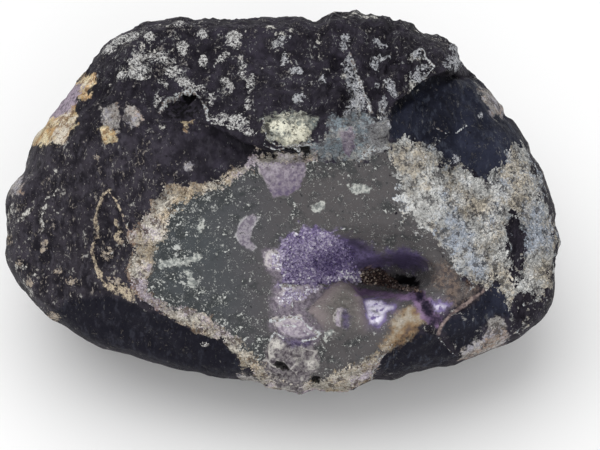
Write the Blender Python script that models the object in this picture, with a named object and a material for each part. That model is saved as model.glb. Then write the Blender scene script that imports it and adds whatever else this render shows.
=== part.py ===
"""Half of an amethyst geode: a rounded stone with a black skin, broken open at the front.

The broken face shows grey agate with a tan rind, and in it a pocket that holds a crust of small
purple quartz points. Metres, +Z up. The stone lies on a small flat on its underside, its broken
face turned to -Y and upwards.
"""

import math
import random

import bmesh
import bpy
import numpy as np
from mathutils import Vector, noise

MM = 0.001

# Driving sizes
STONE_WIDTH = 150 * MM
FRONT_RISE = 36 * MM  # how far the rounded front stands out of the outline's plane
BACK_RISE = 46 * MM  # how far the rounded back stands out of it
FACE_ANGLE = math.radians(50)  # the broken face looks up this far above the horizon
FLAT_DROP = 42.5 * MM  # the flat underside lies this far below the outline's centre
SHIFT = Vector((0.1 * MM, -4.0 * MM))  # brings the middle of the stone's footprint to the origin

# The outline and the marks are seen from this far away, so what stands nearer looks larger.
VIEW_DISTANCE = 0.8

# Places on the face are read off a 600 by 450 pixel photograph, x to the right and y down.
OUTLINE_WIDTH_PX = 556
CENTRE_PX = (283, 201.5)
PX = STONE_WIDTH / OUTLINE_WIDTH_PX

OUTLINE_PX = [
    (5, 254), (9, 238), (6, 204), (9, 192), (20, 178), (26, 170), (29, 151), (34, 141), (57, 113),
    (67, 98), (82, 77), (85, 70), (92, 61), (103, 46), (115, 38), (130, 31), (145, 22), (165, 19),
    (182, 17), (195, 20), (220, 19), (243, 20), (264, 17), (275, 19), (300, 16), (318, 22),
    (334, 14), (348, 12), (358, 14), (371, 13), (384, 16), (405, 20), (422, 32), (438, 35),
    (449, 41), (456, 48), (458, 56), (468, 69), (491, 90), (503, 107), (505, 115), (513, 119),
    (521, 129), (529, 142), (531, 155), (539, 163), (549, 186), (553, 198), (557, 213), (555, 223),
    (561, 242), (556, 256), (555, 271), (556, 284), (554, 298), (547, 311), (535, 324), (519, 337),
    (497, 349), (472, 357), (455, 364), (434, 368), (409, 374), (392, 379), (376, 378), (357, 385),
    (345, 389), (329, 389), (315, 387), (300, 391), (287, 388), (268, 386), (253, 380), (235, 379),
    (210, 376), (191, 372), (163, 365), (130, 355), (107, 350), (86, 340), (63, 326), (44, 315),
    (31, 301), (19, 286), (8, 266),
]

# The broken face: agate with its tan rind, and the grainy quartz that lies bare on the right
AGATE_FACE_PX = [
    (168, 182), (186, 187), (206, 183), (224, 178), (231, 170), (245, 162), (255, 155), (290, 160),
    (312, 154), (330, 143), (350, 136), (388, 150), (392, 165), (400, 185), (397, 203), (406, 217),
    (421, 223), (435, 234), (441, 251), (453, 264), (470, 283), (486, 288), (478, 299), (461, 311),
    (440, 322), (437, 336), (422, 330), (403, 342), (386, 351), (374, 366), (371, 378), (346, 392),
    (300, 394), (268, 388), (243, 363), (222, 339), (203, 334), (178, 322), (159, 311), (138, 299),
    (126, 271), (134, 248), (126, 236), (147, 215), (157, 197),
]
GRAINY_FACE_PX = [
    (390, 146), (402, 142), (413, 141), (426, 147), (434, 144), (438, 159), (447, 172), (459, 163),
    (476, 178), (491, 185), (495, 174), (503, 168), (507, 151), (523, 145), (529, 157), (543, 176),
    (548, 210), (557, 232), (561, 242), (556, 256), (549, 290), (540, 299), (527, 292), (520, 312),
    (524, 324), (516, 327), (506, 300), (497, 278), (486, 288), (470, 283), (453, 264), (435, 234),
    (406, 217), (397, 203), (400, 185), (392, 165),
]

# A broken ledge crosses the stone above the agate: x, y and its height in millimetres
LEDGE = [
    (140, 118, 0.0), (160, 124, 1.2), (185, 124, 2.6), (205, 126, 3.2), (216, 131, 4.0),
    (228, 139, 4.6), (241, 146, 5.0), (256, 150, 5.2), (270, 154, 5.4), (284, 157, 5.2),
    (300, 155, 4.6), (313, 150, 3.2), (330, 146, 1.6), (350, 142, 1.0), (375, 144, 1.2),
    (388, 146, 2.0), (390, 128, 3.4), (391, 109, 4.4), (407, 97, 5.4), (430, 84, 6.2),
    (447, 76, 6.2), (466, 71, 4.0), (482, 70, 1.0), (520, 66, 0.0),
]
BEYOND_THE_TOP_PX = [(520, -200), (60, -200)]
LEDGE_REACH = 20 * MM  # the ledge's height fades out this far behind its edge

# Flat breaks that cut the rounded front: a point on each, its depth in millimetres, and how its
# depth changes to the right and upwards
BREAKS = [
    ("agate face", (290, 260), 24.5, 0.00, 0.15),
    ("lower right", (432, 332), 20.5, -0.46, 0.66),
    ("lower left", (190, 330), 20.0, 0.32, 0.66),
    ("right shoulder", (436, 200), 24.0, -0.52, 0.05),
    ("left shoulder", (120, 230), 22.0, 0.50, 0.02),
    ("top slope", (290, 128), 29.5, 0.02, -0.86),
]
BREAK_ROUNDING = 0.7 * MM

# Rounded hollows (negative) and lumps: x, y, half width, half height, turn, height in millimetres
SWELLS = [
    (445, 118, 58, 40, -15, -3.6),
    (182, 107, 27, 15, -5, -3.4),
    (287, 131, 30, 22, 5, 2.6),
    (111, 240, 22, 55, 8, -1.2),
    (336, 314, 33, 36, 0, 3.2),
    (425, 333, 32, 15, -35, 1.6),
    (296, 354, 34, 34, 0, 1.8),
    (516, 248, 11, 36, -5, -1.6),
    (372, 60, 16, 46, -26, 2.4),
    (410, 64, 14, 36, -30, 2.4),
    (346, 90, 12, 44, -20, -2.0),
    (150, 65, 46, 26, -15, 1.6),
    (240, 70, 40, 28, 10, 1.4),
    (70, 205, 40, 80, 5, 1.5),
]

# The pocket: x, y, half width, half height, turn, depth in millimetres
POCKET = [
    (366, 272, 96, 50, -6, 9.0),
    (388, 277, 52, 24, -8, 11.5),
    (316, 262, 48, 36, 0, 2.5),
]
CRUST_EDGE_PX = [
    (278, 262), (283, 245), (300, 234), (328, 231), (352, 238), (376, 248), (400, 256), (421, 265),
    (431, 279), (423, 292), (396, 297), (366, 295), (345, 289), (322, 292), (300, 293), (282, 284),
]

BALL_SUBDIVISIONS = 7
FRONT_SHARE = 0.66  # of the ball's points that go to the front
STONE_TRIANGLES = 7500

CRUST_GAP = 1.0 * MM
CRUST_THICKNESS = 0.7 * MM
CRYSTAL_WIDTH = 2.5 * MM
CRYSTAL_HEIGHT = 1.7 * MM
CRYSTAL_SEED = 7


def smooth_step(low, high, value):
    """0 below low, 1 above high, with a smooth rise between."""
    share = np.clip((value - low) / (high - low), 0, 1)
    return share * share * (3 - 2 * share)


def smaller(a, b):
    """The smaller of two depths, rounded where they meet."""
    return -BREAK_ROUNDING * np.logaddexp(-a / BREAK_ROUNDING, -b / BREAK_ROUNDING)


def rounded_bump(x, y, centre_x, centre_y, half_width, half_height, turn):
    """1 at the middle of an ellipse on the face, falling smoothly to 0 at its edge."""
    angle = math.radians(turn)
    right, down = x - centre_x, y - centre_y
    along = (right * math.cos(angle) + down * math.sin(angle)) / half_width
    across = (down * math.cos(angle) - right * math.sin(angle)) / half_height
    return smooth_step(0, 1, 1 - along**2 - across**2)


def segments(outline):
    return zip(outline, outline[1:] + outline[:1])


def edge_distance(x, y, outline):
    """Distance in pixels to a closed outline, positive inside it."""
    nearest = np.full(x.shape, 1e9)
    inside = np.zeros(x.shape, bool)
    for (x0, y0), (x1, y1) in segments(outline):
        run, rise = x1 - x0, y1 - y0
        share = np.clip(((x - x0) * run + (y - y0) * rise) / (run**2 + rise**2), 0, 1)
        nearest = np.minimum(nearest, np.hypot(x - x0 - share * run, y - y0 - share * rise))
        crosses = (y0 > y) != (y1 > y)
        inside ^= crosses & (x < x0 + (y - y0) * run / (rise or 1))
    return np.where(inside, nearest, -nearest)


def ledge_height(x, y):
    """How far the slab above the ledge stands over the face below it, in metres."""
    total = np.zeros(x.shape)
    height = np.zeros(x.shape)
    for px, py, rise in LEDGE:
        weight = 1 / (np.hypot(x - px, y - py) + 3) ** 4
        total += weight
        height += weight * rise * MM
    height = height / total
    slab = [(px, py) for px, py, _ in LEDGE] + BEYOND_THE_TOP_PX
    behind = edge_distance(x, y, slab) * PX
    softness = 0.5 * MM + 0.28 * height
    fade = np.exp(-((np.maximum(behind, 0) / LEDGE_REACH) ** 2))
    return height * smooth_step(-softness, softness, behind) * fade


def outline_radius(angle):
    """Distance from the outline's centre to its edge, in pixels, in each direction."""
    points = np.array(OUTLINE_PX, float) - CENTRE_PX
    angles = np.arctan2(-points[:, 1], points[:, 0])
    radii = np.hypot(points[:, 0], points[:, 1])
    order = np.argsort(angles)
    return np.interp(angle, angles[order], radii[order], period=2 * math.pi)


def edge_depth(angle):
    """Depth of the outline's own edge: nearer at the bottom, where the break runs out to it."""
    return MM * (-3.0 - 9.0 * np.sin(angle)) - 2.0 * MM * np.cos(angle) ** 2


def front_depth(x, y):
    """Depth of the stone's front at a place on the face: metres towards the viewer."""
    right, up = x - CENTRE_PX[0], CENTRE_PX[1] - y
    angle = np.arctan2(up, right)
    share = np.clip(np.hypot(right, up) / outline_radius(angle), 0, 1)
    rim = edge_depth(angle)
    depth = rim + (FRONT_RISE - rim) * np.sqrt(1 - share**2.7)
    for _, (px, py), at, to_right, to_top in BREAKS:
        flat = at * MM + (to_right * (x - px) + to_top * (py - y)) * PX
        depth = smaller(depth, flat)
    inner = smooth_step(1.0, 0.94, share)
    for *place, height in SWELLS:
        depth = depth + inner * height * MM * rounded_bump(x, y, *place)
    depth = depth + inner * ledge_height(x, y)
    bare = smooth_step(-2.5, 2.5, edge_distance(x, y, AGATE_FACE_PX))
    grainy = smooth_step(-2.5, 2.5, edge_distance(x, y, GRAINY_FACE_PX))
    depth = depth - inner * 0.9 * MM * np.maximum(bare, grainy)
    return depth - pocket_depth(x, y)


def pocket_depth(x, y):
    """How far the pocket goes in behind the broken face."""
    return sum(depth * MM * rounded_bump(x, y, *place) for *place, depth in POCKET)


def in_row_frame(x, y, depth):
    """Points of the face, with their depth, as points of the model."""
    nearer = 1 - depth / VIEW_DISTANCE
    right = (x - CENTRE_PX[0]) * PX * nearer
    up = (CENTRE_PX[1] - y) * PX * nearer
    sine, cosine = math.sin(FACE_ANGLE), math.cos(FACE_ANGLE)
    across = up * sine - depth * cosine
    height = up * cosine + depth * sine
    return np.column_stack([right + SHIFT.x, across + SHIFT.y, height + FLAT_DROP])


def roughness(points, size, octaves):
    return np.array([noise.fractal(Vector(p) / size, 0.8, 2.0, octaves) for p in points])


def material(name, colour, rough):
    made = bpy.data.materials.new(name)
    made.use_nodes = True
    shader = made.node_tree.nodes["Principled BSDF"]
    shader.inputs["Base Color"].default_value = (*colour, 1)
    shader.inputs["Roughness"].default_value = rough
    return made


def add_object(name, bm, finish):
    mesh = bpy.data.meshes.new(name)
    bm.to_mesh(mesh)
    bm.free()
    mesh.materials.append(finish)
    made = bpy.data.objects.new(name, mesh)
    bpy.context.scene.collection.objects.link(made)
    return made


def ball_places(directions):
    """Where each point of the ball goes: its place on the face, and whether it is on the front."""
    from_front = (1 - directions[:, 2]) / 2
    to_front = 0.5 * from_front / FRONT_SHARE
    to_back = 0.5 + 0.5 * (from_front - FRONT_SHARE) / (1 - FRONT_SHARE)
    level = 1 - 2 * np.where(from_front < FRONT_SHARE, to_front, to_back)
    angle = np.arctan2(directions[:, 1], directions[:, 0])
    share = np.sqrt(np.clip(1 - level**2, 0, 1))
    reach = share * outline_radius(angle)
    x = CENTRE_PX[0] + reach * np.cos(angle)
    y = CENTRE_PX[1] - reach * np.sin(angle)
    return x, y, share, angle, level >= 0


def stone():
    bm = bmesh.new()
    bmesh.ops.create_icosphere(bm, subdivisions=BALL_SUBDIVISIONS, radius=1)
    directions = np.array([v.co for v in bm.verts])
    directions /= np.linalg.norm(directions, axis=1, keepdims=True)
    x, y, share, angle, on_front = ball_places(directions)
    rim = edge_depth(angle)
    back = rim - (BACK_RISE + rim) * np.sqrt(np.clip(1 - share**2.3, 0, 1))
    points = in_row_frame(x, y, np.where(on_front, front_depth(x, y), back))
    for vert, point in zip(bm.verts, points):
        vert.co = point
    bm.normal_update()

    smooth = np.where(on_front, smooth_step(-6, 4, edge_distance(x, y, AGATE_FACE_PX)), 0)
    amount = (1 - smooth) * (0.5 + 0.5 * smooth_step(0.98, 0.9, share))
    lumps = 1.5 * MM * roughness(points, 17 * MM, 3) + 0.5 * MM * roughness(points, 5 * MM, 2)
    for vert, shift in zip(bm.verts, amount * lumps):
        vert.co += vert.normal * shift

    made = add_object("stone", bm, material("black_skin", (0.035, 0.033, 0.042), 0.55))
    thinned = made.modifiers.new("thin_out", "DECIMATE")
    thinned.ratio = STONE_TRIANGLES / len(made.data.polygons)
    return cut_flat(made)


def cut_flat(made):
    """The stone with its underside cut off at z = 0, where it rests."""
    graph = bpy.context.evaluated_depsgraph_get()
    thin = bpy.data.meshes.new_from_object(made.evaluated_get(graph))
    made.modifiers.clear()
    bm = bmesh.new()
    bm.from_mesh(thin)
    whole = bm.verts[:] + bm.edges[:] + bm.faces[:]
    cut = bmesh.ops.bisect_plane(bm, geom=whole, plane_co=(0, 0, 0), plane_no=(0, 0, -1), clear_outer=True)
    open_edges = [e for e in cut["geom_cut"] if isinstance(e, bmesh.types.BMEdge)]
    bmesh.ops.edgeloop_fill(bm, edges=open_edges)
    bmesh.ops.triangulate(bm, faces=bm.faces[:])
    bmesh.ops.recalc_face_normals(bm, faces=bm.faces[:])
    bm.to_mesh(made.data)
    bm.free()
    made.data.shade_smooth()
    made.data.set_sharp_from_angle(angle=math.radians(35))
    return made


def face_normals(x, y):
    """The front's outward normals in the row frame, from small steps across the face."""
    step = 1.5
    across = in_row_frame(x + step, y, front_depth(x + step, y)) - in_row_frame(x - step, y, front_depth(x - step, y))
    upward = in_row_frame(x, y - step, front_depth(x, y - step)) - in_row_frame(x, y + step, front_depth(x, y + step))
    normals = np.cross(across, upward)
    return normals / np.linalg.norm(normals, axis=1, keepdims=True)


def crystal_cells():
    """Six-sided cells that cover the crust: the corners that they share, and each cell's corners."""
    side = CRYSTAL_WIDTH / math.sqrt(3) / PX
    corners, cells = {}, []
    for row in range(-12, 40):
        for column in range(-10, 40):
            centre = (270 + math.sqrt(3) * side * (column + row % 2 / 2), 220 + 1.5 * side * row)
            here = edge_distance(np.array(centre[:1]), np.array(centre[1:]), CRUST_EDGE_PX)[0]
            if here < 0:
                continue
            ring = []
            for turn in range(6):
                angle = math.radians(30 + 60 * turn)
                spot = (centre[0] + side * math.cos(angle), centre[1] - side * math.sin(angle))
                key = (round(spot[0]), round(spot[1]))
                near = [k for k in corners if abs(k[0] - key[0]) < 3 and abs(k[1] - key[1]) < 3]
                ring.append(near[0] if near else key)
                if not near:
                    corners[key] = spot
            cells.append(ring)
    return corners, cells


def seen_on(made, x, y):
    """The points where the lines of sight through these places meet an object."""
    eye = Vector(in_row_frame(x[:1], y[:1], np.full(1, VIEW_DISTANCE))[0])
    ends = in_row_frame(x, y, np.zeros(x.shape))
    return np.array([made.ray_cast(eye, (Vector(end) - eye).normalized())[1] for end in ends])


def crystal_crust(stone_object):
    """A thin sheet over the pocket's floor, each of its cells grown into a six-sided point."""
    rng = random.Random(CRYSTAL_SEED)
    corners, cells = crystal_cells()
    keys = list(corners)
    spots = np.array([corners[k] for k in keys]) + [[rng.uniform(-1.6, 1.6), rng.uniform(-1.6, 1.6)] for _ in keys]
    x, y = spots[:, 0], spots[:, 1]
    normals = face_normals(x, y)
    under = seen_on(stone_object, x, y) + normals * CRUST_GAP
    over = under + normals * CRUST_THICKNESS

    bm = bmesh.new()
    low = {k: bm.verts.new(p) for k, p in zip(keys, under)}
    high = {k: bm.verts.new(p) for k, p in zip(keys, over)}
    grown = {k: Vector(n) for k, n in zip(keys, normals)}
    rims = {}
    for ring in cells:
        bm.faces.new([low[k] for k in reversed(ring)])
        for a, b in segments(ring):
            rims[(a, b)] = True
        middle = sum((high[k].co for k in ring), Vector()) / 6
        out = sum((grown[k] for k in ring), Vector()).normalized()
        lean = Vector([rng.uniform(-0.2, 0.2) for _ in range(3)])
        height = CRYSTAL_HEIGHT * rng.uniform(0.6, 1.25)
        way = (out + lean).normalized()
        shoulder = []
        for k in ring:
            toward = middle.lerp(high[k].co, 0.74)
            shoulder.append(bm.verts.new(toward + way * height * 0.42))
        tip = bm.verts.new(middle + way * height)
        for i in range(6):
            j = (i + 1) % 6
            bm.faces.new([high[ring[i]], high[ring[j]], shoulder[j], shoulder[i]])
            bm.faces.new([shoulder[i], shoulder[j], tip])
    for a, b in [pair for pair in rims if pair[::-1] not in rims]:
        bm.faces.new([low[a], low[b], high[b], high[a]])
    bmesh.ops.triangulate(bm, faces=bm.faces[:])
    bmesh.ops.recalc_face_normals(bm, faces=bm.faces[:])
    return add_object("crystal_crust", bm, material("amethyst_points", (0.19, 0.12, 0.36), 0.2))


for old in list(bpy.data.objects):
    bpy.data.objects.remove(old)
crystal_crust(stone())
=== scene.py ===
"""Dresses the geode half: the finely broken stone with its marks, the quartz grains that lie bare
on it, and the purple druse in its pocket, on a pale floor under soft light.

Metres, +Z up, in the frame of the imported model. Marks on the broken face are placed by their
pixels in a 600 by 450 picture seen along the face's own direction.
"""

import math
import random

import bmesh
import bpy
import numpy as np
from bpy.props import FloatProperty, FloatVectorProperty, IntProperty, PointerProperty
from mathutils import Matrix, Vector, noise


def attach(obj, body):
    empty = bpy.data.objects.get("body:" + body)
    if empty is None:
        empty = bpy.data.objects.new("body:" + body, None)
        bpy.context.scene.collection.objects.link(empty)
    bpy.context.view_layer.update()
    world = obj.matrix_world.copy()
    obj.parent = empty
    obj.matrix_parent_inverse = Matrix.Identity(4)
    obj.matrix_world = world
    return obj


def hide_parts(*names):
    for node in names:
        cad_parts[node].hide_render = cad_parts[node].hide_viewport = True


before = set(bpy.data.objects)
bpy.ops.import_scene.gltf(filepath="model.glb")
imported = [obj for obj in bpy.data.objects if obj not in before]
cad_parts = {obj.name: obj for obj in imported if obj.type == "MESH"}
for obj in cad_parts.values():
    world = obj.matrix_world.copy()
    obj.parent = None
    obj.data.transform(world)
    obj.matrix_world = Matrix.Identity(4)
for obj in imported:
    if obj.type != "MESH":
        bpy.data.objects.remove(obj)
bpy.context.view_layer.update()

bl_info = {
    "name": "Geode Half",
    "version": (1, 0, 0),
    "blender": (4, 5, 0),
    "location": "3D View > Sidebar > Geode",
    "description": "Models a broken geode's stone, its bare quartz grains and its druse",
    "category": "Object",
}

MM = 0.001

# The stone's own sizes, as in the solid
STONE_WIDTH = 150 * MM
FRONT_RISE = 36 * MM
BACK_RISE = 46 * MM
FACE_ANGLE = math.radians(50)
FLAT_DROP = 42.5 * MM
SHIFT = Vector((0.1 * MM, -4.0 * MM))
BREAK_ROUNDING = 0.7 * MM
LEDGE_REACH = 20 * MM
VIEW_DISTANCE = 0.8
OUTLINE_WIDTH_PX = 556
CENTRE_PX = (283, 201.5)
PX = STONE_WIDTH / OUTLINE_WIDTH_PX

# The ball that becomes the stone: its cuts, and how far it bulges where the sizes of its faces are
# compared
BALL_SUBDIVISIONS = 7
BALL_BULGE = 20 * MM

# Sizes of the relief's swells, lumps, grains, pits, chips, broken plates and slanting ridges
SWELL_SIZE = 17 * MM
LUMP_SIZE = 5 * MM
FINE_SIZE = 1.9 * MM
PIT_SIZE = 2.3 * MM
CHIP_SIZE = 4.5 * MM
PLATE_SIZE = 3 * MM
RIDGE_SIZE = 9 * MM
SALT_SIZE = 22 * MM  # clouds of salt on the back

# Where the top is drawn out in ridges: x, y, half width, half height, turn
RIDGED = (375, 70, 95, 80, 0)
GROOVE_DEPTH = 1.6  # millimetres, below the highest parts of the ledge

# How fast the marks end behind the outline, and how far behind it the loose salts reach
BACK_FADE = 0.45
BACK_REACH_PX = 34

# How pale the broken mass is, and how fast a plate grows darker across it, away from its paler upper left, as
# painted light and shade
BROKEN_TONE = 0.35
TONE_SLOPE = 0.013

# Boxes of the picture where crystals and grains are tried: left, top, right, bottom
DRUSE_BOX = (272, 226, 470, 316)
GRAIN_BOX = (120, 140, 562, 395)
GRAINS_END_SHARE = 0.985  # of the way from the middle to the outline

# A crystal one unit wide: its pointed part and its prism, how it leans, and how deep it is sunk
POINT_HEIGHT = 0.62
PRISM_HEIGHT = 0.9
CRYSTAL_LEAN = 0.28
CRYSTAL_SUNK = 0.1
GRAIN_SUNK = 0.12

# Where the druse is darker as painted shade, where some crystals are pale as painted glints, and where it
# thins out and darkens as painted shade
DRUSE_TONES = ((330, 262, 26, 16, 10), (352, 279, 32, 12, 8), (353, 250, 24, 28, 0))

# Patches of grains on the skin: wander, softness, grains to the metre, light, warm, cool and dark
SKIN_PATCHES = (
    ("yellow", 2.0, 1.2, 1000.0, (224, 210, 176), (212, 174, 122), (204, 196, 182), (120, 92, 66)),
    ("pink", 2.4, 1.4, 1200.0, (178, 174, 170), (166, 146, 132), (150, 148, 156), (72, 66, 66)),
    ("lump", 3.0, 1.5, 1200.0, (160, 160, 150), (204, 200, 180), (112, 120, 118), (46, 44, 44)),
)

# Dust, specks and flakes on the agate: scale, how dense with the chips, density, strength
AGATE_SPECKS = ((2400.0, 0.2, -0.02, 0.6), (1100.0, 0.3, -0.12, 0.85), (420.0, 0.34, -0.28, 0.75))

# The stage
IMAGE_WIDTH, IMAGE_HEIGHT = 600, 450
SENSOR_WIDTH = 36.0
CLIP_START = 0.05
FLOOR_REACH = 3.0
LIGHT_AIM = Vector((0, 0, 0.03))

ORIGIN = "root"

# The stone's outline, its broken face with the rind, and the grainy quartz bare on the right
OUTLINE_PX = [
    (5, 254), (9, 238), (6, 204), (9, 192), (20, 178), (26, 170), (29, 151), (34, 141), (57, 113), (67, 98),
    (82, 77), (85, 70), (92, 61), (103, 46), (115, 38), (130, 31), (145, 22), (165, 19), (182, 17),
    (195, 20), (220, 19), (243, 20), (264, 17), (275, 19), (300, 16), (318, 22), (334, 14), (348, 12),
    (358, 14), (371, 13), (384, 16), (405, 20), (422, 32), (438, 35), (449, 41), (456, 48), (458, 56),
    (468, 69), (491, 90), (503, 107), (505, 115), (513, 119), (521, 129), (529, 142), (531, 155),
    (539, 163), (549, 186), (553, 198), (557, 213), (555, 223), (561, 242), (556, 256), (555, 271),
    (556, 284), (554, 298), (547, 311), (535, 324), (519, 337), (497, 349), (472, 357), (455, 364),
    (434, 368), (409, 374), (392, 379), (376, 378), (357, 385), (345, 389), (329, 389), (315, 387),
    (300, 391), (287, 388), (268, 386), (253, 380), (235, 379), (210, 376), (191, 372), (163, 365),
    (130, 355), (107, 350), (86, 340), (63, 326), (44, 315), (31, 301), (19, 286), (8, 266),
]
AGATE_FACE_PX = [
    (168, 182), (186, 187), (206, 183), (224, 178), (231, 170), (245, 162), (255, 155), (290, 160),
    (312, 154), (330, 143), (350, 136), (388, 150), (392, 165), (400, 185), (397, 203), (406, 217),
    (421, 223), (435, 234), (441, 251), (453, 264), (470, 283), (486, 288), (478, 299), (461, 311),
    (440, 322), (437, 336), (422, 330), (403, 342), (386, 351), (374, 366), (371, 378), (346, 392),
    (300, 394), (268, 388), (243, 363), (222, 339), (203, 334), (178, 322), (159, 311), (138, 299),
    (126, 271), (134, 248), (126, 236), (147, 215), (157, 197),
]
GRAINY_FACE_PX = [
    (390, 146), (402, 142), (413, 141), (426, 147), (434, 144), (438, 159), (447, 172), (459, 163),
    (476, 178), (491, 185), (495, 174), (503, 168), (507, 151), (523, 145), (529, 157), (543, 176),
    (548, 210), (557, 232), (561, 242), (556, 256), (549, 290), (540, 299), (527, 292), (520, 312),
    (524, 324), (516, 327), (506, 300), (497, 278), (486, 288), (470, 283), (453, 264), (435, 234),
    (406, 217), (397, 203), (400, 185), (392, 165),
]

# The broken ledge above the agate: x, y and its height in millimetres
LEDGE = [
    (140, 118, 0.0), (160, 124, 1.2), (185, 124, 2.6), (205, 126, 3.2), (216, 131, 4.0), (228, 139, 4.6),
    (241, 146, 5.0), (256, 150, 5.2), (270, 154, 5.4), (284, 157, 5.2), (300, 155, 4.6), (313, 150, 3.2),
    (330, 146, 1.6), (350, 142, 1.0), (375, 144, 1.2), (388, 146, 2.0), (390, 128, 3.4), (391, 109, 4.4),
    (407, 97, 5.4), (430, 84, 6.2), (447, 76, 6.2), (466, 71, 4.0), (482, 70, 1.0), (520, 66, 0.0),
]
BEYOND_THE_TOP_PX = [(520, -200), (60, -200)]

# Flat breaks: x, y, depth in millimetres, and how it changes to the right and upwards. They are
# the agate face, the lower right and left, the right and left shoulders and the top slope.
BREAKS = [
    (290, 260, 24.5, 0.0, 0.15), (432, 332, 20.5, -0.46, 0.66), (190, 330, 20.0, 0.32, 0.66),
    (436, 200, 24.0, -0.52, 0.05), (120, 230, 22.0, 0.5, 0.02), (290, 128, 29.5, 0.02, -0.86),
]

# Rounded hollows (negative) and lumps: x, y, half width, half height, turn, height in millimetres
SWELLS = [
    (445, 118, 58, 40, -15, -3.6), (182, 107, 27, 15, -5, -3.4), (287, 131, 30, 22, 5, 2.6),
    (111, 240, 22, 55, 8, -1.2), (336, 314, 33, 36, 0, 3.2), (425, 333, 32, 15, -35, 1.6),
    (296, 354, 34, 34, 0, 1.8), (516, 248, 11, 36, -5, -1.6), (372, 60, 16, 46, -26, 2.4),
    (410, 64, 14, 36, -30, 2.4), (346, 90, 12, 44, -20, -2.0), (150, 65, 46, 26, -15, 1.6),
    (240, 70, 40, 28, 10, 1.4), (70, 205, 40, 80, 5, 1.5),
]

# The pocket: x, y, half width, half height, turn, depth in millimetres
POCKET = [(366, 272, 96, 50, -6, 9.0), (388, 277, 52, 24, -8, 11.5), (316, 262, 48, 36, 0, 2.5)]

# Lilac plates: how pale each is, and its outline
LILAC_PLATES = [
    (0.42, (258, 161), (278, 160), (306, 161), (305, 171), (301, 187), (288, 197), (274, 197), (268, 186),
     (259, 172)),
    (0.8, (265, 253), (272, 250), (282, 252), (283, 262), (281, 272), (272, 270), (265, 264)),
    (0.58, (284, 285), (298, 287), (312, 284), (323, 287), (319, 294), (308, 297), (303, 303), (294, 301),
     (289, 308), (280, 306), (275, 300), (280, 293)),
    (0.66, (273, 318), (281, 318), (290, 315), (302, 316), (310, 325), (321, 333), (315, 336), (298, 338),
     (284, 335), (276, 326)),
    (0.6, (333, 318), (337, 313), (342, 313), (340, 320), (342, 327), (336, 325)),
    (0.4, (337, 132), (351, 127), (356, 133), (354, 146), (350, 158), (344, 152), (342, 142)),
]

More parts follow.
